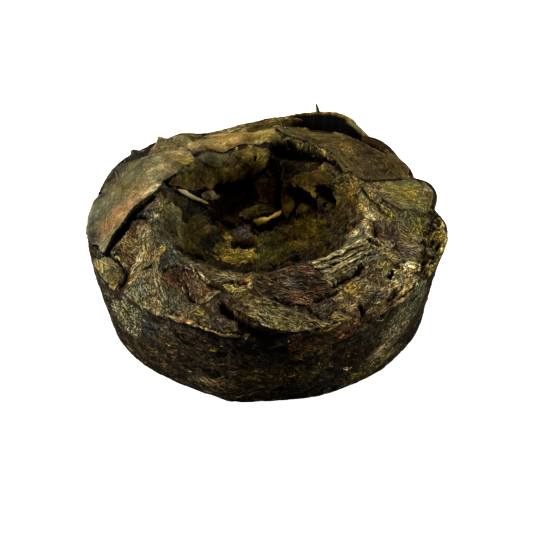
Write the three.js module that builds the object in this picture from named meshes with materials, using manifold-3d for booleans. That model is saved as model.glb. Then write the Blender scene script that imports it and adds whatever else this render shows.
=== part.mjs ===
// A small nest-shaped cake of pressed tea leaf. It rests on its flattened dome with the hollow upwards.
// Millimetres, +Z up, origin at the middle of the flat foot, -Y towards the side that shows in front.
// Bearings are degrees round +Z from +X: 0 is right, 90 back, 180 left and 270 front.

import * as THREE from "three";
import { mergeVertices } from "three/addons/utils/BufferGeometryUtils.js";
import Module from "manifold-3d";

const wasm = await Module();
wasm.setup();

// Section of the cake, from the middle of the foot out to the rim and back to the middle of the hollow
const FOOT = { radius: 7.6, height: 0, round: 1.6 };
const SHOULDER = { radius: 12.9, height: 2.2, round: 1.3 };
const RIM = { radius: 15.0, height: 11.1, round: 0.8 };
const LIP = { radius: 8.3, height: 12.0, round: 1.0 };
const FLOOR_EDGE = { radius: 5.2, height: 6.2, round: 2.2 };
const FLOOR_HEIGHT = 5.9;
const HOLLOW_SHIFT = new THREE.Vector2(-0.7, 1.0); // the hollow is pressed a little off centre

// Faceting of the cake
const BEARING_STEPS = 68;
const RING_STEP = 1.5;

// Lumps and dents left by the pressing: their depth in each zone, and the waves that make them up
const LUMPS = { wall: 0.14, crown: 0.26, hollow: 0.34, flatMiddle: 4 };
const LUMP_WAVES = [
  { share: 0.5, round: 3, along: 0.55, phase: 1.3 },
  { share: 0.3, round: 8, along: -0.8, phase: 2.1 },
  { share: 0.2, round: 13, along: 1.3, phase: 0.4 },
];

// Uneven rim: places where it rises or dips, each fading over its spread in degrees
const RIM_WAVES = [
  { bearing: 70, rise: 0.35, spread: 20 },
  { bearing: 112, rise: -0.6, spread: 16 },
  { bearing: 205, rise: -0.25, spread: 18 },
  { bearing: 345, rise: 0.2, spread: 22 },
];

// Leaf scraps: how they are cut, how far they stand proud and how deep they are sunk in the cake
const LEAF = { step: 1.7, lift: 0.32, sink: 0.55, thickness: 0.34, crowning: 0.25, tip: 0.3 };
const TORN_EDGE = [
  { depth: 0.12, waves: 17 },
  { depth: 0.07, waves: 31 },
];
const LOOSE = { top: [0, 1], under: [-0.1, 0.4] }; // where across its width a hanging scrap leaves the cake

// Scraps on the crown, between the rim (at 0) and the lip (at 1). turn is a scrap's slant from the
// level direction, lift how far it stands proud, and hang lifts its free side (1 inner, -1 outer).
const CROWN_LEAVES = {
  mantleLeaf: { bearing: 168, at: 0.36, length: 16, width: 4.6, turn: -11, hang: 0.55, free: 1 },
  tanBackLeaf: { bearing: 109, at: 0.62, length: 6.6, width: 2.6, turn: 4, lift: 0.4 },
  longBackLeaf: { bearing: 52, at: 0.5, length: 11.5, width: 3.2, turn: 2 },
  mossLeaf: { bearing: 9, at: 0.36, length: 4.6, width: 4.2, turn: 70, lift: 0.5 },
  greyLeaf: { bearing: 350, at: 0.6, length: 4.2, width: 2.6, turn: 75 },
  crumbledEdge: { bearing: 347, at: 0.1, length: 6, width: 2.2, turn: 3, lift: 0.4 },
  creamScrap: { bearing: 331, at: 0.14, length: 2.8, width: 1.5, turn: 25, lift: 0.42 },
  mottledLeaf: { bearing: 315, at: 0.3, length: 5.6, width: 3, turn: -8 },
  darkOvalLeaf: { bearing: 289, at: 0.7, length: 7.2, width: 3.7, turn: -4, lift: 0.42 },
  oliveLeaf: { bearing: 277, at: 0.25, length: 10, width: 3, turn: -3, hang: 0.3, free: -1 },
  yellowScrap: { bearing: 257, at: 0.85, length: 3, width: 1.3, turn: 0, lift: 0.4 },
  plumLeaf: { bearing: 254, at: 0.12, length: 4.6, width: 2.2, turn: 0 },
  redLeaf: { bearing: 233, at: 0.62, length: 4.4, width: 3, turn: -25, lift: 0.4 },
  frayedMat: { bearing: 235, at: 0.2, length: 5.4, width: 2.6, turn: -15 },
  frayedStrap: { bearing: 206, at: 0.55, length: 6.6, width: 2, turn: 128, lift: 0.45 },
  roundLeaf: { bearing: 209, at: 0.06, length: 2.8, width: 2.6, turn: 0, lift: 0.42 },
  lipLeaf: { bearing: 199, at: 0.97, length: 6.4, width: 1.6, turn: 0 },
};

// Stems lying side by side along the lip
const STEM_BUNDLE = { bearing: 325, at: 0.74, length: 6.8, width: 0.72, turn: -16, lift: 0.5 };
const STEMS = { count: 4, pitch: 0.66 };

// Scraps in the hollow, between the lip (at 0) and the middle of the floor (at 1)
const HOLLOW_LEAVES = {
  paleStick: { bearing: 158, at: 0.16, length: 3, width: 0.5, turn: 10, lift: 0.45 },
  orangeTip: { bearing: 88, at: 0.6, length: 2.6, width: 1, turn: 12, lift: 0.6 },
  floorLeaf: { bearing: 285, at: 0.72, length: 4.6, width: 3.2, turn: 80, lift: 0.35 },
  curledLeaf: { bearing: 62, at: 0.36, length: 3.4, width: 2.4, turn: 30, lift: 0.5 },
  goldWallLeaf: { bearing: 352, at: 0.32, length: 5, width: 3, turn: 8, lift: 0.3 },
  leftWallLeaf: { bearing: 212, at: 0.4, length: 5, width: 3.2, turn: 15, lift: 0.3 },
};

// Leaf tips that hang from the lip down the back of the hollow
const HANGING_TIPS = { at: 0.13, length: 3.8, width: 2.8, turn: 90, lift: 0.5 };
const HANGING_BEARINGS = [142, 124, 107, 92];

// Scraps pressed flat into the wall and the dome, spread evenly and then nudged about
const PRESSED_LEAVES = [
  { zone: "wall", rows: 2, perRow: 9, length: [4, 7], width: [2, 3.2], lift: [0.14, 0.22], turn: 24 },
  { zone: "dome", rows: 1, perRow: 7, length: [3.4, 5], width: [2, 2.6], lift: [0.12, 0.2], turn: 20 },
];
const PRESSED_SEED = 20;
const NUDGE = { round: 0.6, along: 0.3 }; // shares of the even spacing

// Gaps that open between scraps
const CROWN_CRACKS = {
  underTheMantleLeaf: { bearing: 180, at: 0.62, length: 10, width: 0.9, turn: -25, depth: 1.5 },
  behindTheStems: { bearing: 321, at: 0.46, length: 4.4, width: 0.5, turn: -20, depth: 1 },
  rightSplit: { bearing: 12, at: 0.78, length: 4.2, width: 0.45, turn: -50, depth: 1 },
  redLeafSplit: { bearing: 234, at: 0.6, length: 3.6, width: 0.36, turn: 65, depth: 0.9 },
};
const FRONT_GAP = { zone: "wall", bearing: 273, at: 0.93, length: 5, width: 1.1, turn: 0, depth: 0.9 };
const CRACK = { columns: 6, rows: 2, bottomShare: 0.3, above: 1.2, endDepth: 0.1 };

// Voids between the leaf tips on the back of the hollow: half their length, depth and height
const VOIDS = [
  { bearing: 118, at: 0.42, size: [2.4, 1.2, 1.6] },
  { bearing: 55, at: 0.5, size: [2.2, 1.1, 1.4] },
];
const VOID_DETAIL = 2;

// Leaf that stands up along the back of the rim, and the stem tip that sticks out of it
const BACK_FLAP = { bearing: 73, span: 44, height: 1.4, sink: 0.9, lean: 0.3, root: 0.7, edge: 0.42 };
const FLAP_GRID = { columns: 12, rows: 2 };
const STEM_TIP = { bearing: 71, radius: 0.22, height: 2.7, sides: 8, sink: 0.7, slant: 14 };

const UP = new THREE.Vector3(0, 0, 1);

const mix = THREE.MathUtils.lerp;
const smoothstep = THREE.MathUtils.smoothstep;
const radians = THREE.MathUtils.degToRad;
const degrees = THREE.MathUtils.radToDeg;

// Section line with rounded corners, and how far along it the middle of each corner lies
function roundedSection(corners, endPoint) {
  const path = new THREE.Path();
  const marks = [];
  let from = new THREE.Vector2(0, corners[0].height);
  path.moveTo(from.x, from.y);
  corners.forEach((corner, i) => {
    const here = new THREE.Vector2(corner.radius, corner.height);
    const next = corners[i + 1] ? new THREE.Vector2(corners[i + 1].radius, corners[i + 1].height) : endPoint;
    const before = here.clone().sub(from).setLength(corner.round);
    const after = next.clone().sub(here).setLength(corner.round);
    path.lineTo(here.x - before.x, here.y - before.y);
    const straightLength = path.getLength();
    path.quadraticCurveTo(here.x, here.y, here.x + after.x, here.y + after.y);
    marks.push((straightLength + path.getLength()) / 2);
    from = here;
  });
  path.lineTo(endPoint.x, endPoint.y);
  return { path, marks, length: path.getLength() };
}

const section = roundedSection([FOOT, SHOULDER, RIM, LIP, FLOOR_EDGE], new THREE.Vector2(0, FLOOR_HEIGHT));
const [FOOT_AT, SHOULDER_AT, RIM_AT, LIP_AT] = section.marks;
const ZONES = {
  dome: [FOOT_AT, SHOULDER_AT],
  wall: [SHOULDER_AT, RIM_AT],
  crown: [RIM_AT, LIP_AT],
  hollow: [LIP_AT, section.length],
};

function alongOf({ zone, at }) {
  return mix(...ZONES[zone], at);
}

// How far the rim stands above its mean height at a bearing
function rimRise(bearing) {
  return RIM_WAVES.reduce((sum, wave) => {
    const away = THREE.MathUtils.euclideanModulo(bearing - wave.bearing + 180, 360) - 180;
    return sum + wave.rise * Math.exp(-((away / wave.spread) ** 2));
  }, 0);
}

// Lumps of the surface: none on the foot or at the middle of the hollow
function lump(bearing, along, radius) {
  const depth =
    LUMPS.wall * smoothstep(along, FOOT_AT + 1, SHOULDER_AT) +
    (LUMPS.crown - LUMPS.wall) * smoothstep(along, RIM_AT - 1, RIM_AT + 1) +
    (LUMPS.hollow - LUMPS.crown) * smoothstep(along, LIP_AT, LIP_AT + 2);
  const angle = radians(bearing);
  const waves = LUMP_WAVES.reduce(
    (sum, wave) => sum + wave.share * Math.sin(wave.round * angle + wave.along * along + wave.phase),
    0,
  );
  return depth * waves * smoothstep(radius, 0, LUMPS.flatMiddle);
}

// Point on the cake's surface, lifted off it along its normal
function skin(bearing, along, lift = 0) {
  const t = THREE.MathUtils.clamp(along / section.length, 0, 1);
  const point = section.path.getPoint(t);
  const tangent = section.path.getTangent(t);
  const push = lump(bearing, along, point.x) + lift;
  const inward = smoothstep(along, RIM_AT, LIP_AT);
  const riseShare = smoothstep(point.y, along < LIP_AT ? SHOULDER.height : FLOOR_HEIGHT, RIM.height);
  const radius = Math.max(0, point.x + tangent.y * push);
  const height = point.y - tangent.x * push + rimRise(bearing) * riseShare;
  const angle = radians(bearing);
  return new THREE.Vector3(
    radius * Math.cos(angle) + HOLLOW_SHIFT.x * inward,
    radius * Math.sin(angle) + HOLLOW_SHIFT.y * inward,
    height,
  );
}

function solidOf(geometry) {
  geometry.deleteAttribute("normal");
  geometry.deleteAttribute("uv");
  const merged = mergeVertices(geometry, 1e-4);
  return new wasm.Manifold(
    new wasm.Mesh({
      numProp: 3,
      vertProperties: merged.getAttribute("position").array,
      triVerts: new Uint32Array(merged.index.array),
    }),
  );
}

function solidFrom(points, triangles) {
  return solidOf(new THREE.BufferGeometry().setFromPoints(points).setIndex(triangles));
}

// The cake before any scrap is added: rings of points along the section, closed at both middles
function cakeCore() {
  const stations = [];
  let start = 0;
  for (const curve of section.path.curves) {
    const steps = Math.max(1, Math.round(curve.getLength() / RING_STEP));
    for (let i = 1; i <= steps; i += 1) stations.push(start + (curve.getLength() * i) / steps);
    start += curve.getLength();
  }
  const rings = stations.slice(0, -1);
  const points = [skin(0, 0)];
  for (const along of rings) {
    for (let j = 0; j < BEARING_STEPS; j += 1) points.push(skin((360 * j) / BEARING_STEPS, along));
  }
  points.push(skin(0, section.length));
  const top = points.length - 1;
  const last = rings.length - 1;
  const at = (ring, j) => 1 + ring * BEARING_STEPS + (j % BEARING_STEPS);
  const triangles = [];
  for (let j = 0; j < BEARING_STEPS; j += 1) {
    triangles.push(0, at(0, j + 1), at(0, j));
    triangles.push(top, at(last, j), at(last, j + 1));
    for (let ring = 0; ring < last; ring += 1) {
      triangles.push(at(ring, j), at(ring, j + 1), at(ring + 1, j + 1));
      triangles.push(at(ring, j), at(ring + 1, j + 1), at(ring + 1, j));
    }
  }
  return solidFrom(points, triangles);
}

// Closed slab between two grids of points: pointAt(u, v, side), with side 1 above and 0 below
function slab(columns, rows, pointAt) {
  const points = [];
  const triangles = [];
  for (const side of [1, 0]) {
    for (let i = 0; i <= columns; i += 1) {
      for (let j = 0; j <= rows; j += 1) points.push(pointAt(i / columns, j / rows, side));
    }
  }
  const half = (columns + 1) * (rows + 1);
  const at = (side, i, j) => (side ? 0 : half) + i * (rows + 1) + j;
  const quad = (a, b, c, d) => triangles.push(a, b, c, a, c, d);
  for (let i = 0; i < columns; i += 1) {
    for (let j = 0; j < rows; j += 1) {
      quad(at(1, i, j), at(1, i + 1, j), at(1, i + 1, j + 1), at(1, i, j + 1));
      quad(at(0, i, j), at(0, i, j + 1), at(0, i + 1, j + 1), at(0, i + 1, j));
    }
    quad(at(0, i, 0), at(0, i + 1, 0), at(1, i + 1, 0), at(1, i, 0));
    quad(at(1, i, rows), at(1, i + 1, rows), at(0, i + 1, rows), at(0, i, rows));
  }
  for (let j = 0; j < rows; j += 1) {
    quad(at(1, 0, j), at(1, 0, j + 1), at(0, 0, j + 1), at(0, 0, j));
    quad(at(0, columns, j), at(0, columns, j + 1), at(1, columns, j + 1), at(1, columns, j));
  }
  return solidFrom(points, triangles);
}

// Bearing and distance along the section of the place that lies a along and b across a scrap's middle
function scrapPlace(scrap, a, b) {
  const turn = radians(scrap.turn);
  const along = alongOf(scrap);
  const middle = skin(scrap.bearing, along);
  const level = a * Math.cos(turn) - b * Math.sin(turn);
  const inward = a * Math.sin(turn) + b * Math.cos(turn);
  const radius = Math.max(2, Math.hypot(middle.x, middle.y));
  return [scrap.bearing + degrees(level / radius), along + inward];
}

// Torn outline of a scrap: half its width at a share u of its length
function halfWidth(scrap, u) {
  const blunt = mix(LEAF.tip, 1, Math.sqrt(Math.max(0, 1 - (2 * u - 1) ** 4)));
  const wave = (edge) => edge.depth * Math.sin(edge.waves * u + scrap.bearing);
  const torn = TORN_EDGE.reduce((sum, edge) => sum + wave(edge), 1);
  return (scrap.width / 2) * blunt * torn;
}

// A scrap of leaf sunk in the surface. A hanging scrap is thin, and stands off the surface on its free side.
function leafScrap(scrap) {
  const { lift = LEAF.lift, hang = 0, free = 1 } = scrap;
  const columns = Math.max(3, Math.round(scrap.length / LEAF.step));
  const rows = Math.max(2, Math.round(scrap.width / LEAF.step));
  return slab(columns, rows, (u, v, side) => {
    const across = 2 * v - 1;
    const place = scrapPlace(scrap, (u - 0.5) * scrap.length, across * halfWidth(scrap, u));
    const top = lift * (1 - LEAF.crowning * across ** 2) + hang * smoothstep(across * free, ...LOOSE.top);
    const looseShare = hang ? smoothstep(across * free, ...LOOSE.under) : 0;
    return skin(...place, side ? top : mix(-LEAF.sink, top - LEAF.thickness, looseShare));
  });
}

function stemBundle() {
  const bundle = { zone: "crown", ...STEM_BUNDLE };
  return Array.from({ length: STEMS.count }, (_, i) => {
    const across = (i - (STEMS.count - 1) / 2) * STEMS.pitch;
    const [bearing, along] = scrapPlace(bundle, 0, across);
    return leafScrap({ ...bundle, bearing, at: (along - RIM_AT) / (LIP_AT - RIM_AT) });
  });
}

// Seeded draw from 0 to 1
function seededDraw(seed) {
  let state = seed;
  return () => {
    state = (state * 1664525 + 1013904223) % 4294967296;
    return state / 4294967296;
  };
}

function pressedLeaves() {
  const draw = seededDraw(PRESSED_SEED);
  const either = () => draw() - 0.5;
  const between = ([low, high]) => mix(low, high, draw());
  const made = [];
  for (const kind of PRESSED_LEAVES) {
    for (let row = 0; row < kind.rows; row += 1) {
      for (let i = 0; i < kind.perRow; i += 1) {
        made.push(
          leafScrap({
            zone: kind.zone,
            bearing: ((i + 0.5 * (row % 2) + either() * NUDGE.round) * 360) / kind.perRow,
            at: (row + 0.5 + either() * NUDGE.along) / kind.rows,
            length: between(kind.length),
            width: between(kind.width),
            lift: between(kind.lift),
            turn: 2 * either() * kind.turn,
          }),
        );
      }
    }
  }
  return made;
}

// Wedge that cuts a gap into the surface, deepest at its middle
function crackWedge(crack) {
  return slab(CRACK.columns, CRACK.rows, (u, v, side) => {
    const across = (2 * v - 1) * halfWidth(crack, u) * (side ? 1 : CRACK.bottomShare);
    const place = scrapPlace(crack, (u - 0.5) * crack.length, across);
    const depth = mix(crack.depth, CRACK.endDepth, (2 * u - 1) ** 2);
    return skin(...place, side ? CRACK.above : -depth);
  });
}

function voidBall({ bearing, at, size }) {
  const ball = new THREE.IcosahedronGeometry(1, VOID_DETAIL);
  ball.scale(...size);
  ball.rotateZ(radians(bearing - 90));
  const centre = skin(bearing, alongOf({ zone: "hollow", at }));
  ball.translate(centre.x, centre.y, centre.z);
  return solidOf(ball);
}

// Foot of what stands on the rim, and the direction in which it leans outwards
function rimStand(bearing, sink) {
  const out = new THREE.Vector3(Math.cos(radians(bearing)), Math.sin(radians(bearing)), 0);
  const rise = UP.clone().addScaledVector(out, BACK_FLAP.lean);
  return { root: skin(bearing, RIM_AT, -sink), out, rise };
}

// Wavy leaf standing on the rim, lower towards its ends
function standingFlap() {
  return slab(FLAP_GRID.columns, FLAP_GRID.rows, (u, v, side) => {
    const { root, out, rise } = rimStand(BACK_FLAP.bearing + (u - 0.5) * BACK_FLAP.span, BACK_FLAP.sink);
    const arch = Math.sin(Math.PI * mix(0.08, 0.92, u)) * (1 + 0.12 * Math.sin(11 * u));
    const tall = BACK_FLAP.sink + BACK_FLAP.height * arch;
    const thickness = mix(BACK_FLAP.root, BACK_FLAP.edge, v);
    return root.addScaledVector(rise, tall * v).addScaledVector(out, thickness * (side ? 0.5 : -0.5));
  });
}

// Stem tip that runs up inside the flap and ends just above it
function stemTip() {
  const spike = new THREE.ConeGeometry(STEM_TIP.radius, STEM_TIP.height, STEM_TIP.sides);
  spike.translate(0, STEM_TIP.height / 2, 0);
  spike.rotateX(Math.PI / 2);
  spike.rotateY(radians(STEM_TIP.slant));
  const { root, rise } = rimStand(STEM_TIP.bearing, STEM_TIP.sink);
  spike.applyQuaternion(new THREE.Quaternion().setFromUnitVectors(UP, rise.normalize()));
  spike.translate(root.x, root.y, root.z);
  return solidOf(spike);
}

// The largest body of a solid, without any scrap that a cut has set loose
function largestBody(solid) {
  return solid.decompose().reduce((best, body) => (body.volume() > best.volume() ? body : best));
}

function teaNest() {
  const inZone = (zone) => (scrap) => ({ zone, ...scrap });
  const cracks = [...Object.values(CROWN_CRACKS).map(inZone("crown")), FRONT_GAP];
  const hangingTips = HANGING_BEARINGS.map((bearing) => ({ ...HANGING_TIPS, bearing }));
  const scraps = [
    ...Object.values(CROWN_LEAVES).map(inZone("crown")),
    ...[...Object.values(HOLLOW_LEAVES), ...hangingTips].map(inZone("hollow")),
  ];
  const cutters = [...cracks.map(crackWedge), ...VOIDS.map(voidBall)];
  const leaves = [...scraps.map(leafScrap), ...stemBundle(), ...pressedLeaves()];
  const additions = [...leaves, standingFlap(), stemTip()];
  const cut = cutters.reduce((solid, cutter) => solid.subtract(cutter), cakeCore());
  return largestBody(additions.reduce((solid, addition) => solid.add(addition), cut));
}

function meshOf(solid, name, material) {
  const { vertProperties, triVerts } = solid.getMesh();
  const geometry = new THREE.BufferGeometry();
  geometry.setAttribute("position", new THREE.BufferAttribute(vertProperties, 3));
  geometry.setIndex(new THREE.BufferAttribute(triVerts, 1));
  geometry.computeVertexNormals();
  const mesh = new THREE.Mesh(geometry, material);
  mesh.name = name;
  return mesh;
}

const pressedTea = new THREE.MeshStandardMaterial({ color: 0x3a3020, roughness: 0.85, metalness: 0 });

const tuocha = new THREE.Group();
tuocha.add(meshOf(teaNest(), "tea_nest", pressedTea));

export default tuocha;
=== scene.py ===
import math

import bpy
import numpy as np
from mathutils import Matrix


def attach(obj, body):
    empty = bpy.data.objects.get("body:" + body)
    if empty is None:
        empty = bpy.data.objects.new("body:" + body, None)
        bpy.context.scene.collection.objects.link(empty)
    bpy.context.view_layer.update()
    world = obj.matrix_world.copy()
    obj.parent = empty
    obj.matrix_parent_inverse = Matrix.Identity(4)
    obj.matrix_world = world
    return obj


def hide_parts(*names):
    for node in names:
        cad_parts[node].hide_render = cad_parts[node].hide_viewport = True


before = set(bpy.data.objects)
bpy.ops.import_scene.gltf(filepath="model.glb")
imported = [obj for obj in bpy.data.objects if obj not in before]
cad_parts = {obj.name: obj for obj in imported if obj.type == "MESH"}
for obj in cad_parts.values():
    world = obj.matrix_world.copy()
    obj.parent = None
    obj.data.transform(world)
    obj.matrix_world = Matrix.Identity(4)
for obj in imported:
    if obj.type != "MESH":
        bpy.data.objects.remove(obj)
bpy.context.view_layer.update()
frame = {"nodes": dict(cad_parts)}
scene = bpy.context.scene
mm = 0.001
bpy.ops.object.select_all(action="DESELECT")
print("frame loaded:", ", ".join(frame["nodes"]))

# shape of the cake, as in the solid: radius, height and rounding of each corner in mm
cake = {
    "corners": [(7.6, 0.0, 1.6), (12.9, 2.2, 1.3), (15.0, 11.1, 0.8), (8.6, 12.0, 1.0), (5.4, 6.2, 2.2)],
    "roundSteps": 40,
    "floorHeight": 5.9,
    "hollowShift": (-0.55, 0.8),
    "lumps": (0.14, 0.26, 0.34),  # wall, crown, hollow
    # size, waves round the cake, turn along the section, phase
    "lumpWaves": [(0.5, 3, 0.55, 1.3), (0.3, 8, -0.8, 2.1), (0.2, 13, 1.3, 0.4)],
    "rimWaves": [(70, 0.35, 20), (112, -0.6, 16), (205, -0.25, 18), (345, 0.2, 22), (48, 0.55, 12),
                 (84, 0.4, 9), (119, 0.4, 5), (146, 0.45, 10)],  # bearing, rise, spread
    "rimDents": [(36, -0.55, 9), (27, -0.7, 3.5), (8, -0.75, 6), (170, -0.4, 14)],
    "shoulderDents": [(238, -0.32, 13), (257, 0.2, 6)],
}


def sectionLine():
    corners = [np.array(c) for c in cake["corners"]]
    end = np.array((0.0, cake["floorHeight"]))
    fromPoint = np.array((0.0, corners[0][1]))
    points, marks = [fromPoint], []
    for i, corner in enumerate(corners):
        here, rounding = corner[:2], corner[2]
        after = corners[i + 1][:2] if i + 1 < len(corners) else end
        start = here - (here - fromPoint) / np.linalg.norm(here - fromPoint) * rounding
        stop = here + (after - here) / np.linalg.norm(after - here) * rounding
        points.append(start)
        marks.append(len(points) - 1)
        for t in np.linspace(0, 1, cake["roundSteps"] + 1)[1:]:
            points.append((1 - t) ** 2 * start + 2 * t * (1 - t) * here + t * t * stop)
        fromPoint = here
    points.append(end)
    line = np.array(points)
    arc = np.concatenate([[0], np.cumsum(np.linalg.norm(np.diff(line, axis=0), axis=1))])
    return line, arc, [(arc[m] + arc[m + cake["roundSteps"]]) / 2 for m in marks]


line, arc, cornersAt = sectionLine()
footAt, shoulderAt, rimAt, lipAt, floorAt = cornersAt  # mm along the section, from the middle of the foot
endAt = arc[-1]
shoulderHeight, rimHeight = cake["corners"][1][1], cake["corners"][2][1]
fineArc = np.linspace(0, endAt, 6000)
fineLine = np.stack([np.interp(fineArc, arc, line[:, k]) for k in (0, 1)], axis=1)
fineSlope = np.gradient(fineLine, fineArc, axis=0)
fineSlope /= np.linalg.norm(fineSlope, axis=1, keepdims=True)


def ease(x, low, high):
    t = np.clip((x - low) / (high - low), 0, 1)
    return t * t * (3 - 2 * t)


def bell(x, reach):
    return np.exp(-((x / reach) ** 2))


def sectionAt(along):  # radius, height and the two slopes
    return [np.interp(along, fineArc, column) for column in (*fineLine.T, *fineSlope.T)]


def turnBetween(bearing, other):
    return (bearing - other + 180) % 360 - 180


def bumpRound(bearing, bumps):
    return sum(size * bell(turnBetween(bearing, at), spread) for at, size, spread in bumps)


def outwards(bearing, rise=0.0):
    turn = np.radians(bearing)
    return np.stack([np.cos(turn), np.sin(turn), np.full(np.shape(turn), rise)], axis=-1)


def skin(bearing, along, lift):  # point on the cake's surface, raised along its normal, in mm
    along = np.clip(along, 0, endAt)
    radius, height, slopeR, slopeZ = sectionAt(along)
    wall, crown, hollow = cake["lumps"]
    depth = (wall * ease(along, footAt + 1, shoulderAt) + (crown - wall) * ease(along, rimAt - 1, rimAt + 1)
             + (hollow - crown) * ease(along, lipAt, lipAt + 2))
    angle = np.radians(bearing)
    waves = sum(s * np.sin(r * angle + a * along + p) for s, r, a, p in cake["lumpWaves"])
    push = depth * waves * ease(radius, 0, 4) + lift
    inward = ease(along, rimAt, lipAt)
    base = np.where(along < lipAt, shoulderHeight, cake["floorHeight"])
    rise = bumpRound(bearing, cake["rimWaves"]) * ease(height, base, rimHeight)
    dent = bumpRound(bearing, cake["rimDents"]) * ease(along, shoulderAt + 1.5, rimAt - 0.3)
    dent = dent * (1 - ease(along, rimAt + 0.5, rimAt + 4))
    lowDent = bumpRound(bearing, cake["shoulderDents"]) * ease(along, footAt, shoulderAt)
    dent = dent + lowDent * (1 - ease(along, shoulderAt + 0.5, shoulderAt + 4))
    r = np.maximum(0, radius + slopeZ * push + dent)
    x = r * np.cos(angle) + cake["hollowShift"][0] * inward
    y = r * np.sin(angle) + cake["hollowShift"][1] * inward
    return np.stack([x, y, height - slopeR * push + rise], axis=-1)


# seeded noise
flatSize, solidSize = 256, 64
flatLattice = np.random.default_rng(11).uniform(-1, 1, (flatSize,) * 2).astype(np.float32)
solidLattice = np.random.default_rng(12).uniform(-1, 1, (solidSize,) * 3).astype(np.float32)


def flatNoise(x, y, seed=0):
    x, y = np.broadcast_arrays(np.asarray(x, float) + seed * 17.31, np.asarray(y, float) + seed * 9.73)
    ix, iy = np.floor(x).astype(int), np.floor(y).astype(int)
    fx, fy = ease(x - ix, 0, 1), ease(y - iy, 0, 1)
    x0, x1, y0, y1 = (k % flatSize for k in (ix, ix + 1, iy, iy + 1))
    low = flatLattice[x0, y0] * (1 - fx) + flatLattice[x1, y0] * fx
    high = flatLattice[x0, y1] * (1 - fx) + flatLattice[x1, y1] * fx
    return low * (1 - fy) + high * fy


def solidNoise(points, scale, seed=0):
    p = points * scale + seed * np.array((7.3, 3.1, 5.7))
    i = np.floor(p).astype(int)
    f = ease(p - i, 0, 1)
    total = 0
    for corner in np.ndindex(2, 2, 2):
        weight = np.prod(np.abs(1 - np.array(corner) - f), axis=-1)
        x, y, z = np.moveaxis((i + corner) % solidSize, -1, 0)
        total = total + weight * solidLattice[x, y, z]
    return total


def fibreRidges(a, b, seed):  # fine ridges along a scrap, from -1 to 1
    bent = b + 0.2 * flatNoise(a * 0.5, b * 0.6, seed + 3)
    return 0.5 * flatNoise(a * 0.8, bent * 2.6, seed) + 0.5 * flatNoise(a * 1.8, bent * 5.0, seed + 1)


# camera as the photo was taken
view = {
    "elevation": 37.0, "distance": 250.0, "scale": 12.19,  # degrees, mm, pixels a mm
    "rimRow": 45.0, "rimColumn": 0.5,  # pixels from the rim's middle to the photo's
    "pixels": 533, "sensor": 36,
}
tilt = math.radians(view["elevation"])
rightWay = np.array((1.0, 0, 0))
upWay = np.array((0, math.sin(tilt), math.cos(tilt)))
backWay = np.array((0, -math.cos(tilt), math.sin(tilt)))
aim = np.array((0, 0, rimHeight)) - upWay * view["rimRow"] / view["scale"]
aim = aim + rightWay * view["rimColumn"] / view["scale"]
eye = aim + backWay * view["distance"]
bpy.ops.object.camera_add(location=eye * mm, rotation=(math.pi / 2 - tilt, 0, 0))
camera = bpy.context.object
camera.name = "photoCamera"
camera.data.sensor_width = view["sensor"]
camera.data.lens = view["scale"] * view["distance"] * view["sensor"] / view["pixels"]
camera.data.clip_start, camera.data.clip_end = 0.01, 5
scene.camera = camera


def seenAt(points):  # photo column and row of each point, and pixels a mm there
    reach = view["scale"] * view["distance"] / ((eye - points) @ backWay)
    middle = view["pixels"] / 2
    return middle + reach * ((points - eye) @ rightWay), middle - reach * ((points - eye) @ upWay), reach


# places on the cake, read from the photo's pixels
class PhotoPlaces:
    lift = 0.2  # mm that the leaf stands off the section

    def __init__(self):
        bearing, along = np.meshgrid(np.arange(0, 360, 0.3), np.arange(1.0, endAt - 0.1, 0.08))
        self.bearing, self.along = bearing.ravel(), along.ravel()
        points = skin(self.bearing, self.along, self.lift)
        out = skin(self.bearing, self.along, 2 * self.lift) - points
        seen = ((eye - points) * out).sum(axis=1) > 0
        self.bearing, self.along, points = self.bearing[seen], self.along[seen], points[seen]
        self.depth = (eye - points) @ backWay
        self.column, self.row, reach = seenAt(points)

    def at(self, column, row, lift=lift):  # bearing and along of the nearest surface seen there
        if lift != self.lift:
            bearing, along = self.at(column, row)
            x, y, reach = seenAt(skin(np.array(bearing), np.array(along), lift))
            column, row = 2 * column - x, 2 * row - y
        away = (self.column - column) ** 2 + (self.row - row) ** 2
        near = np.where(away < away.min() + 2.5)[0]
        best = near[self.depth[near].argmin()]
        return self.bearing[best], self.along[best]


places = PhotoPlaces()
print("camera set, and places ready:", len(places.bearing))


# leaf colours, written as screen colours
leafColours = {
    "black": (12, 9, 5), "blackBrown": (34, 26, 14), "darkBrown": (58, 45, 26), "brown": (88, 70, 42),
    "redBrown": (86, 57, 38), "plum": (84, 71, 58), "olive": (100, 89, 44), "oliveYellow": (136, 122, 58),
    "tan": (154, 133, 84), "cream": (212, 194, 140), "greyGreen": (98, 96, 70), "tealGrey": (98, 100, 82),
    "blueBlack": (54, 54, 48), "rust": (120, 80, 40), "gold": (140, 115, 50), "pinkTan": (168, 140, 92),
    "greyTan": (132, 119, 82), "moss": (128, 118, 54), "greyBrown": (106, 93, 64), "tawny": (148, 114, 74),
    "greyOlive": (102, 95, 64),
}


def colourOf(name, strength=1.0):  # linear light from the screen colour
    s = np.array(leafColours[name]) / 255
    return np.where(s <= 0.04045, s / 12.92, ((s + 0.055) / 1.055) ** 2.4) * strength


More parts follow.
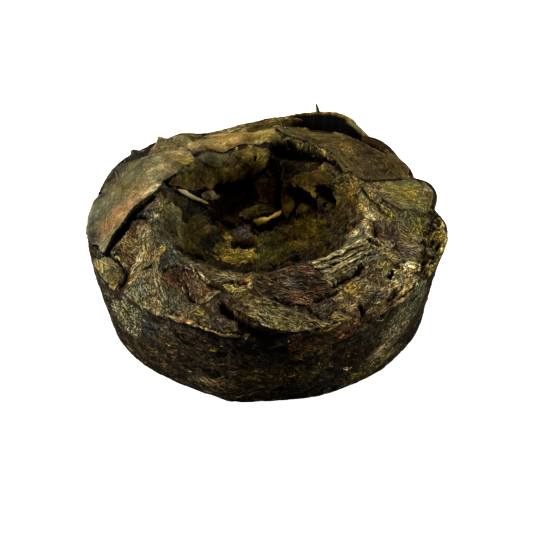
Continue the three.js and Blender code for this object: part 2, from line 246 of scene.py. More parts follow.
# shader maths
class Wire:  # a node socket that works in expressions
    def __init__(self, tree, socket=None):
        self.tree, self.socket = tree, socket

    def add(self, kind, settings=None, values=None, output=0):
        node = self.tree.nodes.new(kind)
        for key, value in (settings or {}).items():
            setattr(node, key, value)
        for key, value in (values or {}).items():
            if isinstance(value, Wire):
                self.tree.links.new(value.socket, node.inputs[key])
            else:
                node.inputs[key].default_value = value
        return Wire(self.tree, node.outputs[output] if len(node.outputs) else None)

    def maths(self, operation, first, second):
        return self.add("ShaderNodeMath", {"operation": operation}, {0: first, 1: second})

    def __add__(self, other):
        return self.maths("ADD", self, other)

    def __sub__(self, other):
        return self.maths("SUBTRACT", self, other)

    def __rsub__(self, other):
        return self.maths("SUBTRACT", other, self)

    def __mul__(self, other):
        return self.maths("MULTIPLY", self, other)

    __radd__, __rmul__ = __add__, __mul__

    def other(self, output):  # another output of the same node
        return Wire(self.tree, self.socket.node.outputs[output])

    def channels(self):  # red, green and blue
        parts = self.add("ShaderNodeSeparateColor", None, {0: self})
        return [parts.other(k) for k in range(3)]

    def between(self, low, high):  # eased from 0 to 1
        return self.add("ShaderNodeMapRange", {"interpolation_type": "SMOOTHSTEP"},
                        {"Value": self, "From Min": low, "From Max": high})

    def blend(self, other, factor, mode="MIX"):
        return self.add("ShaderNodeMix", {"data_type": "RGBA", "blend_type": mode},
                        {0: factor, 6: self, 7: other}, 2)

    def stretched(self, scale, turn=0.0, shift=0.0):
        return self.add("ShaderNodeMapping", None, {0: self, 1: (shift,) * 3, 2: (0, 0, turn), 3: scale})

    def turnedBy(self, angle):
        values = {"Vector": self, "Angle": angle}
        return self.add("ShaderNodeVectorRotate", {"rotation_type": "Z_AXIS"}, values)

    def noise(self, scale, detail, roughness=0.5, output=0):
        values = {"Vector": self, "Scale": scale, "Detail": detail, "Roughness": roughness}
        return self.add("ShaderNodeTexNoise", None, values, output)

    def wandering(self, scale, detail, roughness, amount):  # pushed about by noise
        push = self.noise(scale, detail, roughness, 1)
        values = {0: push, 1: amount, 2: self}
        return self.add("ShaderNodeVectorMath", {"operation": "MULTIPLY_ADD"}, values)

    def cells(self, output=0):
        values = {"Vector": self, "Scale": 1.0}
        return self.add("ShaderNodeTexVoronoi", {"voronoi_dimensions": "2D"}, values, output)


leafLook = {
    "chips": (1.0, 2.0), "chipTurn": 1.3, "chipShade": (0.65, 1.3),  # chips a mm, along and across
    "straws": [(1.35, 10.4, 0.0), (1.6, 11.2, 0.7), (1.9, 11.8, -0.85)],  # a mm, and slant
    "straw": (0.28, 0.48),  # where each straw is whole and where it ends, as a share of its room
    "bare": [0.2, 0.4, 0.5],  # share of the straws left out of each layer
    "dark": 0.07, "low": 0.32, "high": 3.8,  # shade between the straws, and of the dullest and brightest
    "streaks": (0.22, 4.2), "smooth": (0.8, 1.18),
    "roughness": 0.85, "shine": 0.03, "bump": 0.04, "pale": 0.4,
    "warmChip": (1.08, 0.98, 0.82, 1), "coolChip": (0.95, 1.0, 1.06, 1), "paleStraw": (1.5, 1.5, 1.6, 1),
    "warmHue": (1.08, 0.98, 0.8, 1), "coolHue": (0.94, 1.0, 1.02, 1), "deepShade": (1.05, 0.95, 0.72, 1),
    # the pale tan of torn edges is partly a painted highlight; the near black after it is painted shade
    "tornEdgeAndHighlight": (0.36, 0.28, 0.13, 1), "crack": (0.0012, 0.0009, 0.0004, 1),
}


def leafMaterial(name, **changes):
    look = {**leafLook, **changes}
    material = bpy.data.materials.new(name)
    material.use_nodes = True
    tree = material.node_tree
    tree.nodes.clear()
    start = Wire(tree)
    tone = start.add("ShaderNodeAttribute", {"attribute_name": "tone"})
    grain = start.add("ShaderNodeAttribute", {"attribute_name": "grain"}, output=1)
    hairy = start.add("ShaderNodeAttribute", {"attribute_name": "hairy"}, output=2)
    marks = start.add("ShaderNodeAttribute", {"attribute_name": "marks"})
    relief, edge, gap = marks.channels()
    loose = marks.other(3)
    inMm = start.add("ShaderNodeTexCoord", output=3).stretched((1 / mm,) * 3)
    grit = inMm.noise(9.0, 1.5, 0.7).between(0.32, 0.68)
    # small chips of leaf, each with its own shade and lie
    torn = grain.wandering(1.6, 3.0, 0.6, (0.9, 0.7, 0.0)).stretched((*look["chips"], 1))
    chipA, chipB, chipC = torn.cells(1).channels()
    # straw-like fibres that cross one another
    bent = grain.wandering(0.6, 1.0, 0.5, (0.2, 0.3, 0.0))
    turned = bent.turnedBy((chipB - 0.5) * look["chipTurn"] * loose)
    rough, raised, pale = grit * look["dark"] * 1.2 + look["dark"] * 0.4, grit * 0.3, grit * 0.0
    for k, (along, across, slant) in reversed(list(enumerate(look["straws"]))):
        room = turned.turnedBy(loose * slant).stretched((along, across, 1), 0.0, 7.0 * k).cells()
        ownA, ownB, ownC = room.other(1).channels()
        whole = (1 - room.between(*look["straw"])) * ownA.between(look["bare"][k], look["bare"][k] + 0.02)
        bright = ownB * ownB * (look["high"] - look["low"]) + look["low"]
        rough = rough * (1 - whole) + bright * (grit * 0.7 + 0.65) * whole
        raised = raised * (1 - whole) + (ownC * 0.5 + 0.5) * whole
        pale = pale * (1 - whole) + ownB.between(0.5, 1.0) * whole
    streak = bent.stretched((*look["streaks"], 1), 0.0, 3.0).noise(1.0, 3.0, 0.65).between(0.34, 0.66)
    mottle = inMm.noise(0.7, 4.0, 0.65).between(0.3, 0.7)
    hue = inMm.stretched((1, 1, 1), 0.6, 31.0).noise(0.6, 3.0, 0.6)
    (chipLow, chipHigh), (smoothLow, smoothHigh) = look["chipShade"], look["smooth"]
    rough = rough * (chipA * (chipHigh - chipLow) + chipLow)
    smooth = streak * (smoothHigh - smoothLow) + smoothLow
    shade = rough * hairy + smooth * (1 - hairy)
    # the relief mark paints ridges lighter and grooves darker: partly rubbed fibre, partly painted highlight
    # and painted shade
    shade = shade * (mottle * 0.7 + 0.65) * (relief * 0.3 + 0.85) * (grit * 0.3 + 0.85)
    grey = start.add("ShaderNodeCombineColor", None, {0: shade, 1: shade, 2: shade})
    colour = tone.blend(grey, 1.0, "MULTIPLY")
    for tint, share in (
            ("warmChip", chipC.between(0.6, 1.0) * hairy),
            ("coolChip", (1 - chipC).between(0.55, 1.0) * hairy),
            ("warmHue", hue.between(0.5, 0.64)), ("coolHue", (1 - hue).between(0.5, 0.64)),
            ("deepShade", (1 - shade).between(0.1, 0.9))):
        colour = colour.blend(look[tint], share, "MULTIPLY")
    colour = colour.blend(colour.blend(look["paleStraw"], 1.0, "MULTIPLY"), pale * look["pale"] * hairy)
    # pale torn edges, partly a painted highlight along each outline
    colour = colour.blend(look["tornEdgeAndHighlight"], edge * grit * 0.35)
    # painted shade: cracks, pits, borders, plate outlines and undersides turn near black
    colour = colour.blend(look["crack"], gap)
    height = raised * hairy + streak * 0.15 + grit * 0.2 + chipA * 0.5 * hairy
    bump = start.add("ShaderNodeBump", None, {
        "Strength": 1.0, "Distance": look["bump"] * mm, "Height": height})
    shader = start.add("ShaderNodeBsdfPrincipled", None, {
        "Base Color": colour, "Roughness": look["roughness"] - streak * 0.1, "Normal": bump,
        "Specular IOR Level": look["shine"]})
    start.add("ShaderNodeOutputMaterial", None, {0: shader})
    return material


pressedFinish = leafMaterial(
    "pressedLeafWall", roughness=0.65, shine=0.05, bump=0.03, pale=0.8, dark=0.04, low=0.12, high=5.0,
    chips=(0.8, 2.2), chipTurn=1.6, chipShade=(0.35, 1.6), bare=[0.45, 0.5, 0.55])
crownFinish = leafMaterial("flakyLeafCrown")
leafFinish = leafMaterial("drySheetLeaf")
stemFinish = leafMaterial("dryStem")
print("finishes made")

# cracks that cut through the layers, painted dark in the middle as shade: photo column, row and half width
# in mm of each bend, then the depth
leafCracks = {
    "underMantle": ([(107, 251, 0.15), (111, 240, 0.35), (117, 231, 0.6), (123, 223, 0.75),
        (129, 215, 0.6), (137, 206, 0.45), (145, 199, 0.4), (153, 194, 0.2)], 1.5),
    "underMantle2": ([(126, 218, 0.2), (136, 215, 0.28), (147, 214, 0.2)], 1),
    "mantleFoot": ([(84, 256, 0.2), (92, 252, 0.2), (101, 251, 0.12)], 0.8),
    "fanFoot": ([(107, 252, 0.15), (113, 253, 0.18), (119, 250, 0.1)], 0.7),
    "discEdge": ([(98, 256, 0.08), (106, 252, 0.1), (114, 254, 0.12), (121, 261, 0.15), (126, 270, 0.15),
        (125, 279, 0.12), (118, 285, 0.1)], 0.5),
    "redLeaf": ([(181, 270, 0.03), (184, 279, 0.05), (187, 289, 0.06), (191, 298, 0.1), (196, 298, 0.06)],
        0.4),
    "redTop": ([(161, 269, 0.07), (168, 265, 0.09), (176, 263, 0.07)], 0.7),
    "redRight": ([(195, 266, 0.04), (202, 276, 0.06), (208, 281, 0.08), (215, 284, 0.1),
        (222, 288, 0.06)], 0.5),
    "lipGrey": ([(232, 279, 0.07), (240, 281, 0.09), (247, 281, 0.07)], 0.6),
    "oliveEnd": ([(222, 302, 0.3), (227, 308, 0.5), (232, 313, 0.4), (243, 318, 0.3)], 1.3),
    "oliveShade": ([(240, 322, 0.4), (250, 329, 0.8), (262, 336, 1), (274, 340, 1), (286, 341, 0.6),
        (293, 339, 0.3)], 0.6),
    "underStems": ([(332, 283, 0.16), (342, 278, 0.18), (352, 273, 0.16), (361, 264, 0.2)], 1),
    "ovalRight": ([(337, 290, 0.12), (328, 294, 0.09), (318, 298, 0.09), (308, 302, 0.08)], 0.7),
    "ovalFoot": ([(277, 298, 0.07), (285, 301, 0.08), (294, 303, 0.07)], 0.6),
    "darkFlat": ([(309, 306, 0.1), (316, 312, 0.1), (322, 317, 0.1)], 0.6),
    "rightSplit": ([(361, 184, 0.05), (365, 191, 0.09), (369, 196, 0.1), (377, 200, 0.08),
        (383, 207, 0.08), (389, 212, 0.14), (395, 215, 0.12)], 0.9),
    "slit": ([(376, 219, 0.1), (377, 226, 0.13), (377, 233, 0.1)], 0.8),
    "stemEnd": ([(371, 237, 0.15), (377, 241, 0.25)], 0.8),
    "foldLeft": ([(388, 299, 0.08), (396, 291, 0.14), (403, 284, 0.08)], 0.7),
    "foldRight": ([(401, 299, 0.1), (410, 292, 0.14), (417, 286, 0.08)], 0.7),
    "rightMat": ([(391, 274, 0.2), (394, 268, 0.12)], 0.5),
    "rightBlack": ([(362, 306, 0.25), (366, 313, 0.35), (364, 320, 0.2)], 0.7),
    "hollowLeft": ([(184, 252, 0.12), (192, 252, 0.15), (199, 256, 0.15), (206, 259, 0.1)], 0.8),
    "backRecess": ([(284, 122, 0.35), (300, 121, 0.8), (320, 121, 1), (340, 126, 0.9), (354, 132, 0.5),
        (361, 137, 0.3)], 1.5),
    "backRight": ([(364, 140, 0.3), (374, 144, 0.35), (384, 150, 0.3)], 0.5),
    "lipStep1": ([(288, 138, 0.25), (300, 143, 0.25), (314, 148, 0.22), (329, 156, 0.2)], 0.8),
    "lipDark": ([(292, 140, 0.3), (304, 146, 0.4), (318, 152, 0.4), (332, 160, 0.35), (341, 168, 0.2)],
        0.15),
    "lipStep2": ([(312, 152, 0.1), (322, 157, 0.15), (333, 163, 0.12)], 0.6),
    "tanFoot": ([(192, 152, 0.12), (203, 149, 0.18), (215, 149, 0.16), (224, 151, 0.1)], 0.6),
    "voidBack": ([(220, 190, 0.3), (230, 189, 0.65), (240, 190, 0.6)], 1.5),
    "voidMid": ([(247, 176, 0.25), (248, 186, 0.4), (249, 197, 0.3)], 1.4),
    "voidHalf": ([(277, 176, 0.15), (278, 190, 0.2), (276, 207, 0.25)], 1.2),
    "voidRight": ([(290, 192, 0.4), (302, 197, 0.6), (312, 205, 0.5)], 1.6),
    "voidFar": ([(318, 190, 0.4), (326, 195, 0.6), (332, 204, 0.4)], 1.6),
    "voidTop": ([(276, 150, 0.8), (290, 152, 0.9), (305, 156, 0.6), (316, 162, 0.4)], 1.4),
    "underBlock": ([(234, 242, 0.2), (245, 243, 0.28), (256, 242, 0.2)], 0.8),
    "blockSide": ([(253, 226, 0.1), (256, 234, 0.14)], 0.7),
    "underCrescent": ([(256, 226, 0.15), (266, 227, 0.2), (275, 222, 0.12)], 0.6),
    "creaseLeft": ([(160, 322, 0.15), (180, 329, 0.3), (200, 335, 0.4), (220, 343, 0.45),
        (240, 344, 0.4)], 0.35),
    "creaseRight": ([(345, 336, 0.12), (358, 331, 0.18), (372, 324, 0.15), (384, 319, 0.12)], 0.4),
}

class CrackLines:
    def __init__(self):
        self.runs = []
        for points, depth in leafCracks.values():
            spots = [places.at(x, y) for x, y, half in points]
            for (b0, a0), (b1, a1), p0, p1 in zip(spots, spots[1:], points, points[1:]):
                self.runs.append((b0, a0, b1, a1, p0[2], p1[2], depth))

    def cut(self, bearing, along):  # depth in mm, and the painted shade, 1 in the middle of a crack
        deep, share = np.zeros(bearing.shape), np.zeros(bearing.shape)
        for b0, a0, b1, a1, half0, half1, depth in self.runs:
            radius = max(float(sectionAt((a0 + a1) / 2)[0]), 1.5)
            dx, dy = math.radians(turnBetween(b1, b0)) * radius, a1 - a0
            reach = 0.5 * math.hypot(dx, dy) + 1.6 * max(half0, half1) + 0.3
            x, y = np.radians(turnBetween(bearing, b0)) * radius, along - a0
            near = (np.abs(x - dx / 2) < reach) & (np.abs(y - dy / 2) < reach)
            if not near.any():
                continue
            b, a = bearing[near], along[near]
            x, y = (v[near] + 0.1 * flatNoise(a * 1.7, b * 0.4, seed)
                    + 0.05 * flatNoise(a * 5, b * 1.2, seed + 1) for v, seed in ((x, 71), (y, 73)))
            t = np.clip((x * dx + y * dy) / max(dx * dx + dy * dy, 1e-6), 0, 1)
            half = half0 + (half1 - half0) * t
            inside = 1 - ease(np.hypot(x - t * dx, y - t * dy), half * 0.6, half * 0.95 + 0.04)
            deep[near] = np.maximum(deep[near], depth * inside)
            share[near] = np.maximum(share[near], inside)
        return deep, share


cracks = CrackLines()
print("cracks placed:", len(leafCracks))

# painted warm shade: in the hollow and along the back the colour is made yellower and browner, and darker on
# the hollow's right and left, with mottled tone; bearing, share and spread, then the change of colour
hollowTintAndShade = {
    "back": [(70, 0.55, 55)], "plainLeft": [(190, 0.65, 60)], "warmRight": [(10, 1, 50)],
    "dim": [(350, 0.7, 60), (12, 0.22, 25), (190, 0.3, 50)],
    "yellow": (-0.06, 0.06, 0.66), "right": (0.02, -0.12, -0.6), "warm": (0.12, 0.03, -0.3),
}


def tintedAndShaded(tone, bearing, along):
    inHollow = ease(along, lipAt - 0.3, lipAt + 1.6)
    share = np.maximum(inHollow, bumpRound(bearing, hollowTintAndShade["back"]))[..., None]
    plainLeft, warmRight, dim = (share * bumpRound(bearing, hollowTintAndShade[name])[..., None]
                                 for name in ("plainLeft", "warmRight", "dim"))
    place = skin(bearing, along, np.zeros(np.shape(bearing)))
    mottle = solidNoise(place, 0.7, 31) + 0.7 * solidNoise(place, 1.9, 32)
    patchy = np.exp(share * 0.6 * mottle[..., None])
    warm = share * solidNoise(place, 0.6, 33)[..., None] * np.array(hollowTintAndShade["warm"])
    tone = tone * (1 - (share - plainLeft) * np.array(hollowTintAndShade["yellow"])) * patchy * (1 + warm)
    return tone * (1 + warmRight * np.array(hollowTintAndShade["right"])) * (1 - dim)


def grainOf(a, b, seed):  # place along and across a scrap, apart from every other scrap's
    return np.stack([a + seed * 3.7, b + seed * 1.9, np.full(a.shape, seed * 0.77)], axis=-1)


# surfaces made by turning the section, then worked with scraps
class Relief:  # a grid over the cake, rings along the section and steps round it
    shadow, shadowDepth = 0.13, 0.06  # mm that a scrap's shadow reaches, and its depth

    def __init__(self, alongs, steps, tone):
        self.along = np.array(alongs)
        self.bearing = np.arange(steps) * 360 / steps
        self.radius = np.maximum(sectionAt(self.along)[0], 0.6)
        shape = (len(alongs), steps)
        self.height, self.ridge, self.edge, self.gap = (np.zeros(shape) for _ in range(4))
        self.hairy = np.full(shape, 0.8)
        self.tone = np.tile(colourOf(tone), shape + (1,))
        self.grain = np.zeros(shape + (3,))

    def window(self, bearing, along, reach):
        rows = np.where(np.abs(self.along - along) < reach)[0]
        if not len(rows):
            return None
        span = np.degrees(reach / self.radius[rows].min())
        steps = np.where(np.abs(turnBetween(self.bearing, bearing)) < span)[0]
        if not len(steps):
            return None
        level = np.radians(turnBetween(self.bearing[steps], bearing))[None, :] * self.radius[rows][:, None]
        inward = np.broadcast_to((self.along[rows] - along)[:, None], level.shape)
        return np.ix_(rows, steps), level, inward

    def scrap(self, bearing, along, length, width, turn, lift, tone, seed, tilt=(0, 0), arch=0.05,
              buckle=0.05, ridge=0.03, rag=0.2, blunt=2.6, keep=0.5, hairy=0.8):
        found = self.window(bearing, along, 0.5 * math.hypot(length, width) * 1.15 + 0.2)
        if found is None:
            return
        block, level, inward = found
        c, s = math.cos(math.radians(turn)), math.sin(math.radians(turn))
        a, b = level * c + inward * s, inward * c - level * s
        torn = rag * (flatNoise(a * 1.1, b * 1.1, seed) + 0.6 * flatNoise(a * 3.3, b * 3.3, seed + 1)
                      + 0.35 * flatNoise(a * 7, b * 7, seed + 2))
        out = (np.abs(2 * a / length) ** blunt + np.abs(2 * b / width) ** blunt) ** (1 / blunt) + torn
        inside = out < 1
        depth = (1 - out) * 0.5 * width
        ridges = fibreRidges(a, b, seed + 5)
        old, oldPaintedShade = self.height[block], self.gap[block]
        top = (lift + tilt[0] * a / length + tilt[1] * b / width + arch * (1 - (2 * b / width) ** 2)
               + buckle * flatNoise(a * 0.7, b * 0.9, seed + 4) + ridge * ridges - 0.05 * bell(depth, 0.1))
        top = np.maximum(top, old * keep + top * (1 - keep))
        shadow = np.where(inside, 0, np.maximum(1 + depth / self.shadow, 0))
        # painted shade along the scrap's border, and painted shadow just outside it, where the surface is
        # also lowered
        self.gap[block] = np.where(inside, bell(depth, 0.05) * 0.15, np.maximum(oldPaintedShade, 0.6 * shadow))
        self.height[block] = np.where(inside, top, old - self.shadowDepth * shadow)
        self.ridge[block] = np.where(inside, ridges, self.ridge[block])
        self.edge[block] = np.where(inside, bell(depth, 0.09), self.edge[block])
        self.hairy[block] = np.where(inside, hairy, self.hairy[block])
        shade = 1 + 0.25 * flatNoise(a * 0.5, b * 0.8, seed + 7)
        self.tone[block] = np.where(inside[..., None], tone * shade[..., None], self.tone[block])
        self.grain[block] = np.where(inside[..., None], grainOf(a, b, seed), self.grain[block])

    def patches(self, patches, lift, seed, **look):  # scraps at places of the photo
        for i, (column, row, length, width, turn, tone, strength) in enumerate(patches):
            bearing, along = places.at(column, row)
            colour = colourOf(tone, strength)
            self.scrap(bearing, along, length, width, -turn, lift, colour, seed + i, **look)

    def cutCracks(self):
        bearing, along = np.meshgrid(self.bearing, self.along)
        deep, share = cracks.cut(bearing, along)
        self.height -= deep
        # the cracks are cut down and painted with shade
        self.gap = np.maximum(self.gap, share)

    def pits(self, pits, depth, seed):
        for i, ((bearing, along), size) in enumerate(pits):
            found = self.window(bearing, along, max(size) + 0.3)
            if found is None:
                continue
            block, level, inward = found
            out = np.sqrt((level / size[0]) ** 2 + (inward / size[1]) ** 2)
            share = 1 - ease(out + 0.25 * flatNoise(level * 1.3, inward * 1.3, seed + i), 0.55, 1.0)
            # each pit is cut down and painted dark as shade
            self.height[block] -= depth * share
            self.gap[block] = np.maximum(self.gap[block], 0.8 * share)


def spunPiece(name, rings, steps):  # turns the section about the upright axis; rings are (along, lift)
    profile = bpy.data.meshes.new(name)
    along, lift = np.array(rings).T
    radius, height, slopeR, slopeZ = sectionAt(along)
    x, z = np.maximum(radius + slopeZ * lift, 0), height - slopeR * lift
    points = [(px * mm, 0, pz * mm) for px, pz in zip(x, z)]
    profile.from_pydata(points, [(i, i + 1) for i in range(len(rings) - 1)], [])
    ringIndex = profile.attributes.new("ring", "INT", "POINT")
    ringIndex.data.foreach_set("value", np.arange(len(rings), dtype=np.int32))
    piece = bpy.data.objects.new(name, profile)
    scene.collection.objects.link(piece)
    bpy.context.view_layer.objects.active = piece
    piece.select_set(True)
    bpy.ops.object.mode_set(mode="EDIT")
    bpy.ops.mesh.select_all(action="SELECT")
    bpy.ops.mesh.spin(steps=steps, angle=2 * math.pi, center=(0, 0, 0), axis=(0, 0, 1))
    bpy.ops.mesh.select_all(action="SELECT")
    bpy.ops.mesh.remove_doubles(threshold=1e-7)
    bpy.ops.mesh.normals_make_consistent(inside=False)
    bpy.ops.object.mode_set(mode="OBJECT")
    piece.select_set(False)
    return piece


def meshPoints(mesh):
    co = np.empty(len(mesh.vertices) * 3, np.float32)
    mesh.vertices.foreach_get("co", co)
    return co.reshape(-1, 3).astype(float)


def movePoints(mesh, points):  # to places in mm
    mesh.vertices.foreach_set("co", (points * mm).astype(np.float32).ravel())


def writeMarks(mesh, tone, grain, ridge=0.0, edge=0.0, gap=0.0, hairy=0.0, loose=0.7):
    count = len(mesh.vertices)
    rgba = np.ones((count, 4), np.float32)
    rgba[:, :3] = np.maximum(tone, 0)
    mesh.color_attributes.new("tone", "FLOAT_COLOR", "POINT").data.foreach_set("color", rgba.ravel())
    # the third mark is painted shade, in cracks, pits, borders and undersides
    for k, mark in enumerate((0.5 + 0.5 * ridge, edge, gap, loose)):
        rgba[:, k] = np.clip(mark, 0, 1)
    mesh.color_attributes.new("marks", "FLOAT_COLOR", "POINT").data.foreach_set("color", rgba.ravel())
    grainMarks = mesh.attributes.new("grain", "FLOAT_VECTOR", "POINT")
    grainMarks.data.foreach_set("vector", grain.astype(np.float32).ravel())
    hairyMarks = mesh.attributes.new("hairy", "FLOAT", "POINT")
    hairyMarks.data.foreach_set("value", np.broadcast_to(hairy, count).astype(np.float32))


def workPiece(piece, relief, rings, steps, material):  # moves the spun points onto the worked surface
    mesh = piece.data
    co = meshPoints(mesh)
    ring = np.empty(len(mesh.vertices), np.int32)
    mesh.attributes["ring"].data.foreach_get("value", ring)
    bearing = np.degrees(np.arctan2(co[:, 1], co[:, 0])) % 360
    step = np.rint(bearing / (360 / steps)).astype(int) % steps
    count = len(relief.along)
    shown = ring < count
    cell = np.minimum(ring, count - 1), step
    along, lift = np.array(rings)[ring].T
    points = skin(bearing, along, np.where(shown, relief.height[cell], lift))
    points[:, 2] = np.maximum(points[:, 2], 0)
    movePoints(mesh, points)
    # the tone takes the painted hollow shade, and the closing surface inside the cake is painted full shade
    writeMarks(mesh, tintedAndShaded(relief.tone[cell], bearing, along), relief.grain[cell], relief.ridge[cell],
               relief.edge[cell], np.where(shown, relief.gap[cell], 1), relief.hairy[cell])
    mesh.attributes.remove(mesh.attributes["ring"])
    mesh.materials.append(material)
    mesh.polygons.foreach_set("use_smooth", np.ones(len(mesh.polygons), bool))
    mesh.update()


def spread(start, stop, step):
    return list(np.linspace(start, stop, max(2, int(round((stop - start) / step)) + 1)))


# side of the cake: pressed smooth, in thin layers that follow the rim
sidePiece = {
    "steps": 600, "wallStep": 0.11, "domeStep": 0.24, "footStep": 0.8,
    "wallScraps": 300, "domeScraps": 90,
    "domeScrap": dict(arch=0.02, buckle=0.04, ridge=0.02, keep=0.3, rag=0.4),
    "wallScrap": dict(arch=0.01, buckle=0.03, ridge=0.025, rag=0.5, keep=0.3),
    "domeLength": (2.4, 6), "domeWidth": (1.2, 2.8), "wallLength": (1.5, 6), "wallWidth": (0.6, 2.0),
    "tones": ["darkBrown", "darkBrown", "brown", "darkBrown", "blueBlack", "brown", "greyBrown",
              "darkBrown"],
    "strength": 0.17, "inside": -1.4,  # mm that the closing surface lies within the cake
    "leans": [(215, -40, 28), (325, 40, 28)],  # bearing, degrees and spread of the layers' slope
    "patch": dict(arch=0.02, buckle=0.03, ridge=0.025, rag=0.6, keep=0.4),
    "patches": [  # photo column and row, length, width, turn, tone, strength
        (150, 330, 5, 2.6, 20, "greyGreen", 0.4), (120, 318, 4, 2, 30, "greyBrown", 0.8),
        (178, 350, 6, 1.6, 8, "brown", 0.26), (160, 362, 4, 2.4, 12, "brown", 0.26),
        # the blackBrown patches at columns 236 to 276 are painted shadow under the olive leaf's overhang
        (230, 372, 5, 2.4, 4, "darkBrown", 0.5), (256, 349, 5.5, 2, 4, "blackBrown", 0.3),
        (236, 341, 4, 1.6, 8, "blackBrown", 0.3), (276, 351, 3.5, 1.6, 0, "blackBrown", 0.3),
        (330, 342, 5, 2, -14, "rust", 0.45), (326, 362, 3.6, 2.2, -20, "olive", 0.6),
        (352, 352, 5, 2.6, -20, "blueBlack", 0.7), (336, 378, 4.4, 1.8, -12, "blueBlack", 0.7),
        (372, 372, 6, 1.4, -14, "olive", 0.8), (404, 322, 4, 3, -30, "greyGreen", 0.7),
        (392, 345, 4.4, 2, -30, "greyBrown", 0.7), (424, 290, 3.4, 2.6, -40, "greyGreen", 0.8),
        (380, 312, 5, 1.2, -12, "brown", 0.7), (275, 382, 7, 2, 0, "olive", 0.4),
        (240, 392, 6, 1.2, 4, "brown", 0.5), (436, 216, 2.4, 1.6, 0, "moss", 1.6),
        (440, 230, 2.4, 1.6, 0, "olive", 1.9), (440, 246, 2.6, 1.6, 0, "moss", 1.5),
        (436, 262, 2.6, 1.4, 0, "olive", 1.5),
    ],
}
rng = np.random.default_rng(101)
sideRings = (spread(0, footAt, sidePiece["footStep"])[:-1]
             + spread(footAt, shoulderAt, sidePiece["domeStep"])[:-1]
             + spread(shoulderAt, rimAt + 0.5, sidePiece["wallStep"]))
side = Relief(sideRings, sidePiece["steps"], "darkBrown")
sideTones = sidePiece["tones"]
for i in range(sidePiece["domeScraps"]):
    tone = colourOf(sideTones[rng.integers(len(sideTones))], sidePiece["strength"])
    side.scrap(rng.uniform(0, 360), rng.uniform(1, shoulderAt), rng.uniform(*sidePiece["domeLength"]),
               rng.uniform(*sidePiece["domeWidth"]), rng.uniform(-60, 60), rng.uniform(-0.04, 0.04), tone,
               seed=300 + i, **sidePiece["domeScrap"])
for i in range(sidePiece["wallScraps"]):
    tone = colourOf(sideTones[rng.integers(len(sideTones))], sidePiece["strength"] * rng.uniform(0.7, 1.2))
    bearing = rng.uniform(0, 360)
    lean = bumpRound(bearing, sidePiece["leans"])
    side.scrap(bearing, rng.uniform(shoulderAt - 0.6, rimAt + 0.2), rng.uniform(*sidePiece["wallLength"]),
               rng.uniform(*sidePiece["wallWidth"]), rng.normal(lean, 18), rng.uniform(-0.03, 0.03), tone,
               seed=700 + i, tilt=rng.uniform(-0.05, 0.05, 2), **sidePiece["wallScrap"])
side.patches(sidePiece["patches"], lift=0.02, seed=950, **sidePiece["patch"])

# pits in the mossy part of the rim, at photo columns and rows, sizes and depth in mm
mossPit = {
    "count": 180, "columns": (421, 443), "rows": (205, 272), "size": (0.1, 0.22), "depth": 0.3, "seed": 80,
}
rng = np.random.default_rng(303)
mossPits = [(places.at(rng.uniform(*mossPit["columns"]), rng.uniform(*mossPit["rows"])),
             rng.uniform(*mossPit["size"], 2)) for _ in range(mossPit["count"])]
side.pits(mossPits, mossPit["depth"], mossPit["seed"])
side.cutCracks()
sideUnder = spread(rimAt + 0.9, endAt, 2.4)  # closes the side inside the cake
sideAll = [(a, 0) for a in sideRings] + [(a, sidePiece["inside"]) for a in sideUnder]
pressedSide = spunPiece("pressedSide", sideAll, sidePiece["steps"])
workPiece(pressedSide, side, sideAll, sidePiece["steps"], pressedFinish)
print("pressed side:", len(pressedSide.data.vertices), "points")

